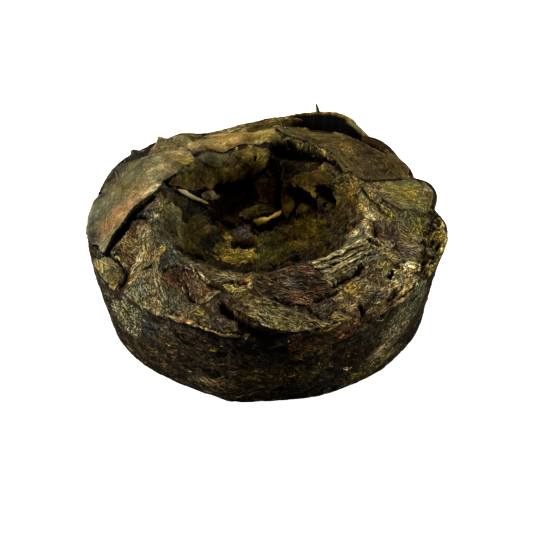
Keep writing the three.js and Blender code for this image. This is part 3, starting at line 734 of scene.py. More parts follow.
# crown and hollow: flaky scraps that lie over one another
crownPiece = {
    "steps": 600, "crownStep": 0.105, "wallStep": 0.13, "floorStep": 0.24,
    "crownScraps": 260, "hollowScraps": 480, "floorEvery": 4,
    "crownScrap": dict(buckle=0.04, ridge=0.02, rag=0.35, arch=0.02),
    "hollowScrap": dict(buckle=0.1, ridge=0.03, rag=0.4, hairy=0.45),
    "crownLength": (0.9, 3.4), "crownWidth": (0.6, 1.8),
    "hollowLength": (0.8, 2.8), "hollowWidth": (0.6, 1.6),
    "hollowShade": (0.25, 1.1),  # of the dullest and the brightest scrap
    "inside": -2.2,
    "zones": [  # from bearing, to bearing, tones
        (345, 385, ["moss", "olive", "oliveYellow", "greyBrown"]),
        (25, 82, ["greyBrown", "greyTan", "brown", "olive"]),
        (82, 128, ["tan", "greyBrown", "olive"]),
        (128, 195, ["blueBlack", "greyGreen", "greyOlive"]),
        (195, 224, ["greyTan", "brown", "greyGreen"]),
        (224, 250, ["redBrown", "brown", "greyBrown", "darkBrown"]),
        (250, 302, ["darkBrown", "olive", "brown", "redBrown"]),
        (302, 345, ["greyTan", "brown", "greyBrown", "tan"]),
    ],
    "hollowZones": [
        (235, 300, ["brown", "darkBrown", "olive"]),
        (300, 420, ["olive", "brown", "gold", "darkBrown", "greyBrown"]),
        (60, 125, ["blackBrown", "darkBrown", "redBrown"]),
        (125, 235, ["greyGreen", "olive", "blueBlack", "plum", "brown"]),
    ],
    "floorZones": [(0, 360, ["brown", "gold", "olive", "darkBrown", "greyBrown"])],
    "patch": dict(buckle=0.06, rag=0.4, hairy=0.5),
    "patches": [  # photo column and row, length, width, turn, tone, strength
        (178, 214, 3.2, 1.6, 60, "greyGreen", 0.9), (170, 234, 3, 1.4, 70, "plum", 0.7),
        (186, 232, 2.6, 1.8, 20, "greyOlive", 0.8), (190, 246, 3, 1.4, 15, "olive", 0.8),
        (204, 230, 2.4, 1.6, 30, "greyBrown", 1), (213, 240, 1.8, 1.4, 40, "blueBlack", 1),
        (198, 222, 2.2, 1.2, 10, "greyOlive", 0.8), (310, 226, 3.2, 2, -20, "olive", 0.8),
        (324, 236, 2.8, 1.6, -30, "greyOlive", 0.7), (306, 244, 2.6, 1.6, -20, "greyBrown", 0.8),
        (318, 246, 2.2, 1, -20, "gold", 0.45), (338, 214, 2.6, 1.2, -70, "brown", 1),
        (345, 196, 2.4, 1, -80, "brown", 1), (332, 206, 2.2, 1.4, -60, "olive", 0.7),
    ],
}


def zoneTone(bearing, zones):
    for low, high, tones in zones:
        if low <= bearing < high or low <= bearing + 360 < high:
            return colourOf(tones[rng.integers(len(tones))])


rng = np.random.default_rng(202)
crownRings = (spread(rimAt - 0.5, lipAt + 0.6, crownPiece["crownStep"])[:-1]
              + spread(lipAt + 0.6, floorAt + 0.4, crownPiece["wallStep"])[:-1]
              + spread(floorAt + 0.4, endAt, crownPiece["floorStep"]))
crown = Relief(crownRings, crownPiece["steps"], "darkBrown")
dullest, brightest = (math.log(shade) for shade in crownPiece["hollowShade"])
for i in range(crownPiece["hollowScraps"]):
    onWall = i % crownPiece["floorEvery"]
    bearing = rng.uniform(0, 360)
    along = rng.uniform(lipAt + 0.2, floorAt + 0.5) if onWall else rng.uniform(floorAt, endAt - 0.4)
    tone = zoneTone(bearing, crownPiece["hollowZones" if onWall else "floorZones"])
    tone = tone * math.exp(rng.uniform(dullest, brightest))
    crown.scrap(bearing, along, rng.uniform(*crownPiece["hollowLength"]),
                rng.uniform(*crownPiece["hollowWidth"]), rng.uniform(-90, 90), rng.uniform(-0.2, 0.22), tone,
                seed=1200 + i, tilt=rng.uniform(-0.35, 0.35, 2), **crownPiece["hollowScrap"])
crown.patches(crownPiece["patches"], lift=0.08, seed=1150, **crownPiece["patch"])
for i in range(crownPiece["crownScraps"]):
    bearing = rng.uniform(0, 360)
    crown.scrap(bearing, rng.uniform(rimAt - 0.4, lipAt + 0.3), rng.uniform(*crownPiece["crownLength"]),
                rng.uniform(*crownPiece["crownWidth"]), rng.normal(0, 45), rng.uniform(-0.06, 0.05),
                zoneTone(bearing, crownPiece["zones"]) * rng.uniform(0.6, 1.0), seed=1600 + i,
                tilt=rng.uniform(-0.08, 0.08, 2), **crownPiece["crownScrap"])
crown.pits(mossPits, mossPit["depth"], mossPit["seed"])
crown.cutCracks()
crownUnder = spread(rimAt + 1.2, endAt - 0.2, 2.6)[::-1]  # closes the crown inside the cake
crownAll = [(a, 0) for a in crownRings] + [(a, crownPiece["inside"]) for a in crownUnder]
pressedCrown = spunPiece("pressedCrown", crownAll, crownPiece["steps"])
workPiece(pressedCrown, crown, crownAll, crownPiece["steps"], crownFinish)
print("pressed crown:", len(pressedCrown.data.vertices), "points")


# height that has piled up on the cake, so that each leaf lies on what is under it
class Pile:
    def __init__(self):
        self.steps, self.pitch = 720, 0.1
        self.alongs = np.arange(0, endAt, self.pitch)
        self.top = np.zeros((len(self.alongs), self.steps))
        bearing = np.arange(self.steps) * 360 / self.steps
        for relief in (side, crown):
            rows = (self.alongs >= relief.along[0]) & (self.alongs <= relief.along[-1])
            ring = np.abs(relief.along[None, :] - self.alongs[rows][:, None]).argmin(axis=1)
            step = np.rint(bearing / (360 / len(relief.bearing))).astype(int) % len(relief.bearing)
            self.top[rows] = relief.height[np.ix_(ring, step)]

    def cells(self, bearing, along):
        i = np.clip(np.rint(along / self.pitch).astype(int), 0, len(self.alongs) - 1)
        return i, np.rint((bearing % 360) / 360 * self.steps).astype(int) % self.steps

    def under(self, bearing, along):
        return self.top[self.cells(bearing, along)]

    def lay(self, bearing, along, height):
        np.maximum.at(self.top, self.cells(bearing, along), height)


pile = Pile()


def neighbours(values):  # the values above, below, left and right of each one
    p = np.pad(values, 1, mode="edge")
    return p[:-2, 1:-1], p[2:, 1:-1], p[1:-1, :-2], p[1:-1, 2:]


def softened(values, rounds):
    for _ in range(rounds):
        values = (values * 2 + sum(neighbours(values))) / 6
    return values


def bridged(values, rounds):
    for _ in range(rounds):
        values = np.maximum.reduce([values, *neighbours(values)])
    return values


def mainPatch(keep, start):  # the part of a field of faces that hangs together with the start
    patch = np.zeros_like(keep)
    patch[start] = keep[start]
    while True:
        grown = np.logical_or.reduce([patch, *neighbours(patch)]) & keep
        if (grown == patch).all():
            return patch
        patch = grown


# a leaf plate: a grid cut to a torn outline, laid on what is under it and given its thickness, in mm
plateCut = {
    "step": 0.1, "thickness": 0.14, "lift": 0.05, "arch": 0.0, "buckle": 0.03, "ridge": 0.012, "rag": 0.1,
    "hairy": 0.85, "strength": 1.0, "sink": 0.04, "spots": [], "raised": [], "grain": None, "soften": 6,
    # rim: share of painted shade along the plate's outline; cool: the plate is left out of the painted
    # hollow shade
    "over": False, "cool": False, "rim": 0.75, "loose": 0.7, "bridge": 0, "ledge": False,
}
plateEdge = {
    "margin": 0.25, "light": 0.1, "sinkReach": 0.16, "below": 0.9,  # below: shade of the underside
    "drawnOut": 0.2, "drawnIn": 0.8, "dark": 0.3, "flattest": 0.15,  # shares of a step; dark is the width of the painted shade along the outline
    "ledge": 0.25, "jut": 1.33, "jutLimit": 0.8, "jutRise": -0.12,
}


def outlineDepth(outline, a, b):  # distance inside a closed outline, negative outside it
    depth, inside = np.full(a.shape, 1e9), np.zeros(a.shape, bool)
    for (x0, y0), (x1, y1) in zip(outline, np.roll(outline, -1, axis=0)):
        dx, dy = x1 - x0, y1 - y0
        t = np.clip(((a - x0) * dx + (b - y0) * dy) / max(dx * dx + dy * dy, 1e-9), 0, 1)
        depth = np.minimum(depth, np.hypot(a - x0 - t * dx, b - y0 - t * dy))
        if y0 != y1:
            inside ^= ((y0 > b) != (y1 > b)) & (a < x0 + (b - y0) * dx / dy)
    return np.where(inside, depth, -depth)


class PlatePlan:  # distances in mm on a leaf, a along it and b across it, and its outline in them
    def __init__(self, cut):
        highest = max([r[2] for r in cut["raised"]], default=0)
        stand = cut["lift"] + 0.1 + 0.5 * cut["arch"] + 0.6 * highest  # mm off the cake
        bearing, along = np.array([places.at(x, y, stand) for x, y in cut["outline"]]).T
        turned = turnBetween(bearing, bearing[0])
        self.bearing = bearing[0] + (turned.max() + turned.min()) / 2
        self.along = (along.max() + along.min()) / 2
        self.radius = max(float(sectionAt(self.along)[0]), 2.0)
        self.onFloor = np.median(along) > floorAt - 0.5  # bearings run together there
        corners = self.flat(bearing, along)
        if cut["grain"]:
            first, last = (self.flat(*places.at(x, y)) for x, y in cut["grain"])
            lengthwise = last - first
        else:
            lengthwise = np.linalg.eigh(np.cov(corners.T))[1][:, 1]
        angle = math.atan2(lengthwise[1], lengthwise[0])
        self.c, self.s = math.cos(angle), math.sin(angle)
        corners = self.lengthways(corners)
        after = np.roll(corners, -1, axis=0)
        cutOnce = np.stack([corners * 0.8 + after * 0.2, corners * 0.2 + after * 0.8], axis=1)
        self.outline = cutOnce.reshape(-1, 2)
        self.low = self.outline.min(axis=0) - plateEdge["margin"]
        self.high = self.outline.max(axis=0) + plateEdge["margin"]

    def flat(self, bearing, along):  # two distances along the surface
        if self.onFloor:
            turn = np.radians(bearing)
            return np.stack([(endAt - along) * np.cos(turn), (endAt - along) * np.sin(turn)], axis=-1)
        level = np.radians(turnBetween(bearing, self.bearing)) * self.radius
        return np.stack([level, along - self.along], axis=-1)

    def lengthways(self, points):  # turned so that a runs along the leaf
        x, y = points[..., 0], points[..., 1]
        return np.stack([x * self.c + y * self.s, y * self.c - x * self.s], axis=-1)

    def at(self, column, row):  # a and b of a place in the photo
        return self.lengthways(self.flat(*places.at(column, row)))

    def placed(self, a, b):  # bearing and along
        x, y = a * self.c - b * self.s, a * self.s + b * self.c
        bearing, along = self.bearing + np.degrees(x / self.radius), self.along + y
        if self.onFloor:
            bearing, along = np.degrees(np.arctan2(y, x)), endAt - np.hypot(x, y)
        return bearing, np.clip(along, 0.2, endAt - 0.05)


def plateHeight(cut, plan, a, b, depth, under, ridges, seed):
    under = bridged(under, cut["bridge"])
    base = np.maximum(softened(under, cut["soften"]), under - 0.08)
    middle, half = (plan.low[1] + plan.high[1]) / 2, (plan.high[1] - plan.low[1]) / 2 - plateEdge["margin"]
    across = np.clip((b - middle) / half, -1, 1)
    height = base + cut["lift"] + cut["arch"] * (1 - across ** 2) + cut["ridge"] * ridges
    waves = flatNoise(a * 0.6, b * 0.8, seed + 7) + 0.5 * flatNoise(a * 1.6, b * 1.9, seed + 8)
    height = height + cut["buckle"] * waves
    for column, row, rise, size in cut["raised"]:
        spotA, spotB = plan.at(column, row)
        height = height + rise * bell(a - spotA, size) * bell(b - spotB, size)
    return height - cut["sink"] * bell(np.maximum(depth, 0), plateEdge["sinkReach"])


def plateTone(cut, plan, a, b, bearing, along, seed):
    tone = np.tile(colourOf(cut["tone"], cut["strength"]), a.shape + (1,))
    bentA = a + 0.5 * flatNoise(a * 0.9, b * 0.9, seed + 21)
    bentB = b + 0.35 * flatNoise(a * 0.9, b * 0.9, seed + 22)
    for column, row, name, size in cut["spots"]:
        spotA, spotB = plan.at(column, row)
        share = (bell(bentA - spotA, size * 1.5) * bell(bentB - spotB, size))[..., None]
        tone = tone * (1 - share) + colourOf(name, cut["strength"]) * share
    tone = tone * (1 + 0.2 * flatNoise(a * 0.7, b, seed + 24))[..., None]
    # plates that are not cool take the painted warm shade of the hollow and the back
    return tone if cut["cool"] else tintedAndShaded(tone, bearing, along)


def cutFaces(mesh, dropped):
    bpy.ops.object.mode_set(mode="EDIT")
    bpy.ops.mesh.select_mode(type="FACE")
    bpy.ops.mesh.select_all(action="DESELECT")
    bpy.ops.object.mode_set(mode="OBJECT")
    mesh.polygons.foreach_set("select", dropped)
    bpy.ops.object.mode_set(mode="EDIT")
    bpy.ops.mesh.delete(type="FACE")
    bpy.ops.object.mode_set(mode="OBJECT")


def thicken(piece, thickness, offset):
    solid = piece.modifiers.new("thickness", "SOLIDIFY")
    solid.thickness, solid.offset = thickness * mm, offset
    bpy.ops.object.modifier_apply(modifier="thickness")


def leafPlate(spec, seed):
    cut = {**plateCut, **spec}
    plan = PlatePlan(cut)
    size, step = plan.high - plan.low, cut["step"]
    columns, rows = (max(6, int(n)) for n in np.ceil(size / step))
    bpy.ops.mesh.primitive_grid_add(x_subdivisions=columns, y_subdivisions=rows, size=2)
    piece = bpy.context.object
    mesh = piece.data
    co = meshPoints(mesh)
    order = np.lexsort((co[:, 0].round(6), co[:, 1].round(6)))  # rows of equal b
    back = np.argsort(order)
    shape = (rows + 1, columns + 1)
    a, b = ((plan.low[k] + (co[order, k] + 1) / 2 * size[k]).reshape(shape) for k in (0, 1))
    torn = (flatNoise(a * 1.2, b * 1.2, seed) + 0.6 * flatNoise(a * 3, b * 3, seed + 1)
            + 0.5 * flatNoise(a * 6.5, b * 6.5, seed + 2))
    depth = outlineDepth(plan.outline, a, b) + cut["rag"] * (torn - 0.3)
    # points close to the torn border are drawn onto it
    slopeB, slopeA = np.gradient(depth, size[1] / rows, size[0] / columns)
    fits = depth > -plateEdge["drawnIn"] * step
    steep = np.maximum(slopeA ** 2 + slopeB ** 2, plateEdge["flattest"])
    pull = np.where(fits & (depth < plateEdge["drawnOut"] * step), -depth, 0) / steep
    a, b = a + slopeA * pull, b + slopeB * pull
    keep = fits[:-1, :-1] & fits[1:, :-1] & fits[:-1, 1:] & fits[1:, 1:]
    keep = mainPatch(keep, np.unravel_index(depth[:-1, :-1].argmax(), keep.shape))
    bearing, along = plan.placed(a, b)
    ridges = fibreRidges(a, b, seed + 5)
    height = plateHeight(cut, plan, a, b, depth, pile.under(bearing, along), ridges, seed)
    # painted shade: a dark line along the plate's outline, as strong as its rim share
    gap = cut["rim"] * (depth < plateEdge["dark"] * step)
    if not cut["over"]:
        # cracks cut into the plate and paint shade into it
        deep, share = cracks.cut(bearing, along)
        height, gap = height - deep, np.maximum(gap, share)
    ledge = rimAt + plateEdge["ledge"]  # a leaf may jut over the rim there
    kept = np.maximum(along, ledge) if cut["ledge"] else along
    jut = plateEdge["jut"] * np.minimum(kept - along, plateEdge["jutLimit"])[..., None]
    points = skin(bearing, kept, height) + jut * outwards(bearing, plateEdge["jutRise"])
    points[..., 2] = np.maximum(points[..., 2], 0)
    movePoints(mesh, points.reshape(-1, 3)[back])
    tone = plateTone(cut, plan, a, b, bearing, along, seed)
    edge = bell(np.maximum(depth, 0), plateEdge["light"])
    writeMarks(mesh, tone.reshape(-1, 3)[back], grainOf(a, b, seed).reshape(-1, 3)[back],
               *(values.ravel()[back] for values in (ridges, edge, gap)), cut["hairy"], cut["loose"])
    covered = np.zeros(shape, bool)
    for i, j in np.ndindex(2, 2):
        covered[i:rows + i, j:columns + j] |= keep
    pile.lay(bearing[covered], along[covered], height[covered])
    loops = np.empty(len(mesh.loops), np.int32)
    mesh.loops.foreach_get("vertex_index", loops)
    corner = back[loops.reshape(-1, 4)].min(axis=1)  # lowest corner of each face in the ordered grid
    cutFaces(mesh, ~keep[corner // (columns + 1), corner % (columns + 1)])
    top = len(mesh.vertices)
    thicken(piece, cut["thickness"], -1)
    # the underside made by the thickness is painted with shade
    marks = np.empty(len(mesh.vertices) * 4, np.float32)
    mesh.attributes["marks"].data.foreach_get("color", marks)
    marks.reshape(-1, 4)[top:, 2] = plateEdge["below"]
    mesh.attributes["marks"].data.foreach_set("color", marks)
    piece.select_set(False)
    return piece


def joinPieces(name, pieces, material):
    bpy.ops.object.select_all(action="DESELECT")
    for piece in pieces:
        piece.select_set(True)
    bpy.context.view_layer.objects.active = pieces[0]
    if len(pieces) > 1:
        bpy.ops.object.join()
    joined = bpy.context.view_layer.objects.active
    joined.name = joined.data.name = name
    joined.data.materials.clear()
    joined.data.materials.append(material)
    bpy.ops.object.shade_smooth_by_angle(angle=math.radians(50))
    joined.select_set(False)
    return joined


def plates(name, leaves, material, seed, **base):
    pieces = [leafPlate({**base, **spec}, seed + 40 * i) for i, spec in enumerate(leaves.values())]
    joined = joinPieces(name, pieces, material)
    print(name + ":", len(joined.data.polygons), "faces")
    return joined


def leaf(tone, strength, outline, **more):  # the outline is in photo pixels
    return {"tone": tone, "strength": strength, "outline": outline, **more}


stemCut = dict(arch=0.14, lift=0.1, step=0.06, sink=0.03, loose=0.15)  # a thin round stem
edgeCut = dict(sink=0.02, rim=0.0, loose=0.15)  # a lit edge

# leaf plates on the crown, lowest first
crownPlate = {
    # left: fan, disc, strap and the lip beside them
    "darkMat": leaf("darkBrown", 0.9, [(109, 253), (120, 249), (137, 249), (137, 258), (128, 275),
        (121, 262)]),
    "fan": leaf("brown", 0.6, [(108, 247), (116, 232), (128, 227), (140, 218), (148, 221), (142, 247),
        (134, 254), (120, 251), (112, 253)], lift=0.08, spots=[(124, 238, "greyTan", 0.5),
        (132, 244, "tan", 0.35)], grain=[(118, 231), (138, 251)]),
    "stripUnder": leaf("plum", 1, [(128, 215), (138, 206), (150, 198), (163, 197), (166, 202), (152, 208),
        (140, 213)], hairy=0.5, spots=[(130, 213, "pinkTan", 0.3)]),
    "sliver": leaf("brown", 0.9, [(137, 220), (147, 216), (149, 219), (142, 221)]),
    "tealLip": leaf("greyGreen", 0.52, [(147, 219), (152, 209), (160, 206), (166, 218), (170, 232),
        (181, 252), (168, 248), (158, 241), (151, 230)], lift=0.1, loose=0.15,
        spots=[(158, 222, "greyGreen", 0.8), (152, 226, "olive", 0.5), (164, 228, "blueBlack", 0.4),
        (156, 212, "cream", 0.25)], grain=[(152, 210), (176, 248)]),
    "greenTongue": leaf("oliveYellow", 1, [(157, 243), (164, 244), (170, 245), (167, 250), (161, 256)],
        lift=0.08),
    "bluePatch": leaf("blueBlack", 0.6, [(160, 256), (167, 250), (174, 248), (182, 255), (191, 266),
        (182, 267), (175, 263), (166, 267), (160, 272)], spots=[(180, 258, "greyGreen", 0.5)]),
    "greyMass": leaf("greyTan", 0.48, [(126, 285), (138, 272), (150, 267), (160, 270), (162, 290),
        (168, 306), (174, 316), (160, 317), (147, 313), (136, 304), (122, 294)],
        spots=[(140, 288, "greyGreen", 1), (158, 300, "tan", 0.6), (133, 294, "greyGreen", 0.6)],
        grain=[(150, 268), (156, 312)]),
    "strapLeft": leaf("greyTan", 0.62, [(138, 221), (148, 221), (154, 232), (157, 246), (157, 259),
        (149, 265), (139, 270), (132, 270), (134, 261), (139, 246)], lift=0.08, arch=0.08, loose=0.15,
        spots=[(146, 245, "tan", 0.7)], grain=[(147, 224), (138, 262)]),
    "strapTail": leaf("greyTan", 0.64, [(134, 260), (148, 264), (141, 273), (130, 284), (118, 292),
        (109, 289), (118, 282), (128, 272)], lift=0.06, loose=0.2, rim=0.3,
        spots=[(116, 288, "gold", 0.6)], grain=[(112, 289), (144, 263)]),
    "strapRight": leaf("greyTan", 0.5, [(150, 232), (156, 240), (161, 258), (160, 268), (165, 278),
        (168, 292), (169, 307), (161, 307), (157, 288), (152, 270), (149, 254)], lift=0.08, arch=0.06,
        loose=0.15, spots=[(158, 252, "tan", 0.4), (162, 290, "greyTan", 0.6)], grain=[(152, 236),
        (163, 304)]),
    "disc": leaf("greyOlive", 0.62, [(91, 262), (96, 256), (104, 252), (113, 254), (119, 258), (123, 264),
        (126, 271), (125, 278), (120, 283), (110, 285), (102, 280), (96, 272)], lift=0.08, rag=0.05,
        thickness=0.2, hairy=0.65, rim=1, spots=[(98, 270, "olive", 0.6), (118, 276, "olive", 0.5),
        (108, 260, "greyTan", 0.6)]),
    # front left: red leaf and the torn mats under it
    "underRed": leaf("greyBrown", 0.55, [(166, 287), (176, 286), (187, 292), (190, 300), (181, 305),
        (176, 311), (168, 308)], spots=[(172, 296, "greyGreen", 0.6)]),
    "redRight": leaf("redBrown", 0.4, [(162, 271), (170, 265), (178, 264), (191, 263), (197, 272),
        (204, 281), (209, 290), (203, 296), (196, 300), (189, 297), (184, 291), (176, 287), (169, 288)],
        lift=0.04, sink=0.05, spots=[(198, 278, "plum", 0.6), (204, 292, "pinkTan", 0.4),
        (172, 274, "darkBrown", 0.4)], grain=[(184, 268), (200, 296)]),
    "lipEdge": leaf("greyTan", 1.2, [(188, 262), (192, 262), (201, 272), (207, 279), (203, 281),
        (196, 271)], lift=0.12, sink=0, rim=0, loose=0.15),
    "brownMat": leaf("greyBrown", 0.52, [(176, 314), (179, 304), (189, 300), (199, 302), (207, 312),
        (211, 322), (213, 331), (200, 327), (187, 323)], spots=[(200, 309, "gold", 0.45),
        (186, 306, "tan", 0.4)]),
    "darkBlock": leaf("plum", 0.5, [(203, 300), (212, 292), (223, 289), (229, 296), (224, 306),
        (215, 313), (207, 308)], spots=[(222, 292, "plum", 0.4)]),
    "goldSliver": leaf("tan", 0.5, [(196, 300), (206, 292), (217, 286), (222, 288), (211, 297),
        (201, 303)], lift=0.1, thickness=0.1, spots=[(200, 299, "rust", 0.4)], **edgeCut),
    "plumLeaf": leaf("plum", 0.56, [(208, 320), (214, 315), (224, 312), (234, 314), (245, 317),
        (256, 322), (264, 328), (252, 332), (242, 334), (232, 337), (221, 334), (213, 329)], lift=0.03,
        grain=[(212, 322), (256, 328)], spots=[(230, 333, "brown", 0.5)]),
    "goldEdge": leaf("tan", 0.9, [(138, 302), (150, 307), (165, 312), (180, 317), (195, 322), (210, 328),
        (222, 333), (235, 336), (248, 333), (251, 337), (238, 341), (225, 340), (211, 335), (195, 328),
        (178, 323), (160, 317), (144, 311)], thickness=0.1, rag=0.16, lift=0.12, step=0.07, over=True,
        hairy=0.6, spots=[(184, 325, "rust", 0.5), (215, 333, "gold", 0.8), (240, 337, "gold", 0.6)],
        **edgeCut),
    # front: lip strips, dark oval, olive leaf
    "lipGreyA": leaf("olive", 0.8, [(208, 279), (213, 272), (224, 271), (238, 273), (248, 276),
        (242, 279), (230, 280), (218, 282)], lift=0.08, loose=0.15, grain=[(212, 277), (246, 276)],
        spots=[(226, 275, "greyTan", 0.5), (214, 276, "greyGreen", 0.4)]),
    "yellowBits": leaf("oliveYellow", 0.9, [(219, 284), (227, 281), (238, 281), (250, 280), (258, 282),
        (254, 288), (242, 291), (230, 291)], rim=0, grain=[(222, 284), (254, 284)],
        spots=[(234, 284, "gold", 0.4), (246, 286, "greyGreen", 0.5)]),
    "lipSmall": leaf("olive", 1.1, [(232, 281), (238, 275), (246, 277), (254, 274), (256, 278),
        (250, 281), (242, 283)], lift=0.06, rim=0, spots=[(252, 276, "gold", 0.3)]),
    "oliveTop": leaf("olive", 0.65, [(222, 291), (232, 293), (244, 292), (256, 293), (266, 296),
        (274, 300), (262, 301), (248, 301), (232, 301)], grain=[(224, 293), (270, 299)]),
    "darkFlat": leaf("blueBlack", 0.4, [(307, 304), (316, 300), (325, 296), (334, 295), (339, 300),
        (335, 307), (328, 314), (321, 318), (314, 311)], spots=[(332, 300, "redBrown", 0.5),
        (322, 306, "greyBrown", 0.4)]),
    "pinkEdge": leaf("redBrown", 0.8, [(329, 295), (338, 289), (346, 291), (342, 300), (336, 303)],
        spots=[(340, 292, "pinkTan", 0.4)]),
    "goldTongue": leaf("gold", 0.65, [(328, 316), (337, 307), (347, 313), (356, 319), (346, 323),
        (334, 322)], lift=0.08, hairy=0.9, spots=[(342, 313, "tan", 0.5)]),
    "darkOval": leaf("darkBrown", 0.95, [(255, 276), (264, 273), (273, 270), (281, 268), (289, 265),
        (297, 262), (306, 263), (315, 266), (322, 271), (326, 279), (331, 284), (337, 289), (330, 295),
        (320, 298), (312, 301), (304, 304), (294, 304), (284, 302), (276, 299), (266, 297), (258, 295),
        (254, 286)], lift=0.2, thickness=0.16, hairy=0.95, rim=1, grain=[(256, 286), (334, 288)],
        spots=[(285, 268, "redBrown", 0.4), (314, 268, "redBrown", 0.4), (296, 280, "blueBlack", 0.5),
        (300, 298, "redBrown", 0.4)]),
    "layerEdge1": leaf("gold", 1.3, [(296, 333), (312, 329), (330, 324), (348, 320), (352, 323),
        (338, 327), (318, 332), (304, 336)], thickness=0.1, lift=0.1, step=0.07, **edgeCut),
    "layerEdge2": leaf("oliveYellow", 1.3, [(304, 329), (322, 325), (338, 320), (346, 319), (336, 325),
        (320, 329)], thickness=0.1, lift=0.1, step=0.07, **edgeCut),
    "oliveLeaf": leaf("greyBrown", 0.66, [(230, 303), (240, 299), (252, 298), (264, 297), (273, 299),
        (285, 304), (296, 309), (306, 313), (314, 318), (323, 321), (336, 318), (330, 325), (318, 328),
        (305, 332), (290, 333), (278, 330), (267, 327), (257, 321), (249, 316), (239, 311)], lift=0.25,
        thickness=0.1, over=True, hairy=0.95, sink=0.03, rim=0.2, bridge=7, ledge=True, grain=[(240, 302),
        (304, 326)], raised=[(245, 314, 0.15, 1.4), (268, 326, 0.2, 1.8), (290, 331, 0.15, 1.6)],
        spots=[(270, 308, "olive", 0.6), (256, 316, "oliveYellow", 0.4), (300, 318, "olive", 0.8),
        (240, 304, "brown", 0.6), (282, 325, "oliveYellow", 0.4)]),
    # front right: stems, mottled mats and the cream cluster
    "midMat": leaf("greyBrown", 0.95, [(360, 258), (372, 246), (386, 243), (397, 249), (406, 258),
        (396, 264), (382, 260), (368, 264)], spots=[(394, 252, "tan", 0.4),
        (376, 254, "greyGreen", 0.6)]),
    "mottledMat": leaf("greyTan", 0.62, [(343, 277), (355, 268), (367, 261), (381, 257), (394, 262),
        (395, 272), (404, 282), (398, 293), (388, 301), (376, 305), (362, 299), (350, 294), (342, 286)],
        lift=0.06, spots=[(352, 284, "gold", 0.7), (372, 292, "blueBlack", 0.5), (366, 272, "brown", 0.6),
        (388, 282, "tan", 0.5), (384, 262, "oliveYellow", 0.5)]),
    "pinkPatch": leaf("redBrown", 0.6, [(343, 304), (351, 298), (361, 299), (368, 304), (364, 313),
        (356, 316), (347, 311)], spots=[(350, 304, "pinkTan", 0.5)]),
    "orangeFlat": leaf("rust", 0.6, [(350, 319), (362, 316), (368, 323), (361, 329), (351, 328)],
        hairy=0.9),
    "stem0": leaf("greyGreen", 0.55, [(326, 254), (340, 243), (352, 236), (362, 231), (369, 236),
        (356, 241), (342, 248), (332, 256)], arch=0.1, step=0.06, sink=0.03, loose=0.15,
        grain=[(328, 254), (366, 235)]),
    "stem4": leaf("greyBrown", 0.8, [(323, 276), (338, 268), (354, 259), (364, 258), (364, 263),
        (355, 268), (345, 275), (334, 282), (327, 282)], spots=[(345, 268, "greyTan", 0.5)],
        grain=[(326, 278), (362, 260)], **stemCut),
    "stem3": leaf("greyTan", 0.9, [(318, 270), (336, 262), (355, 253), (370, 246), (373, 250), (358, 259),
        (340, 267), (326, 275)], grain=[(320, 271), (370, 248)], spots=[(346, 257, "tan", 0.35)],
        **stemCut),
    "stem2": leaf("greyTan", 0.7, [(312, 265), (332, 257), (354, 247), (369, 241), (373, 246), (356, 253),
        (336, 262), (319, 269)], grain=[(314, 266), (370, 243)], spots=[(350, 250, "tan", 0.3)],
        **stemCut),
    "stem1": leaf("greyTan", 0.95, [(306, 263), (328, 254), (350, 243), (364, 238), (370, 241),
        (353, 248), (332, 257), (312, 265)], grain=[(308, 263), (366, 240)],
        spots=[(330, 255, "cream", 0.4), (352, 244, "greyTan", 0.4)], **stemCut),
    "lipCream": leaf("greyTan", 0.75, [(340, 241), (348, 232), (357, 228), (361, 221), (369, 221),
        (375, 226), (376, 237), (368, 237), (356, 235), (347, 239)], lift=0.08,
        spots=[(352, 232, "cream", 0.4), (372, 230, "cream", 0.3), (364, 226, "plum", 0.4)],
        grain=[(366, 222), (358, 236)]),
    "creamCluster": leaf("cream", 0.75, [(391, 270), (401, 263), (411, 258), (421, 261), (423, 269),
        (416, 275), (407, 277), (399, 273)], lift=0.08, rag=0.2, rim=0, hairy=1, buckle=0.02,
        spots=[(405, 272, "brown", 0.3), (398, 270, "gold", 0.4)]),
    "creamTail": leaf("tan", 0.8, [(404, 281), (414, 275), (423, 276), (417, 283), (408, 286)], rag=0.2),
    "foldEdge1": leaf("gold", 1.2, [(386, 298), (396, 288), (407, 282), (417, 280), (405, 289),
        (395, 298)], thickness=0.12, lift=0.06, **edgeCut),
    "foldEdge2": leaf("oliveYellow", 1.3, [(394, 303), (407, 293), (418, 284), (422, 287), (411, 296),
        (400, 304)], thickness=0.12, lift=0.03, **edgeCut),
    # right: plates round the moss leaf
    "rightTri": leaf("greyBrown", 1.2, [(397, 240), (404, 240), (415, 242), (425, 244), (421, 253),
        (414, 259), (406, 261), (401, 253)], spots=[(410, 250, "plum", 0.6)], grain=[(398, 242),
        (424, 248)]),
    "rightPlate": leaf("olive", 0.66, [(399, 214), (405, 209), (413, 206), (421, 208), (428, 211),
        (431, 222), (429, 234), (426, 242), (417, 235), (409, 228), (402, 221)], lift=0.08, hairy=0.8,
        spots=[(410, 216, "greyGreen", 0.6), (424, 226, "moss", 0.5)]),
    "rightStrips": leaf("greyTan", 0.56, [(396, 222), (402, 220), (412, 230), (424, 241), (414, 243),
        (403, 240)], lift=0.06, loose=0.15, spots=[(412, 234, "oliveYellow", 0.3)], grain=[(398, 222),
        (422, 240)]),
    "greyPlate": leaf("plum", 0.7, [(377, 222), (380, 209), (388, 211), (399, 214), (402, 222),
        (400, 235), (397, 241), (389, 241), (383, 237)], hairy=0.75, spots=[(386, 216, "greyBrown", 0.5)],
        grain=[(384, 210), (392, 240)]),
    "tanPlate": leaf("greyTan", 0.75, [(354, 213), (357, 200), (361, 192), (370, 199), (379, 200),
        (384, 206), (381, 215), (374, 219), (364, 217)], hairy=0.75, lift=0.08,
        spots=[(374, 213, "cream", 0.35), (358, 206, "tan", 0.5)]),
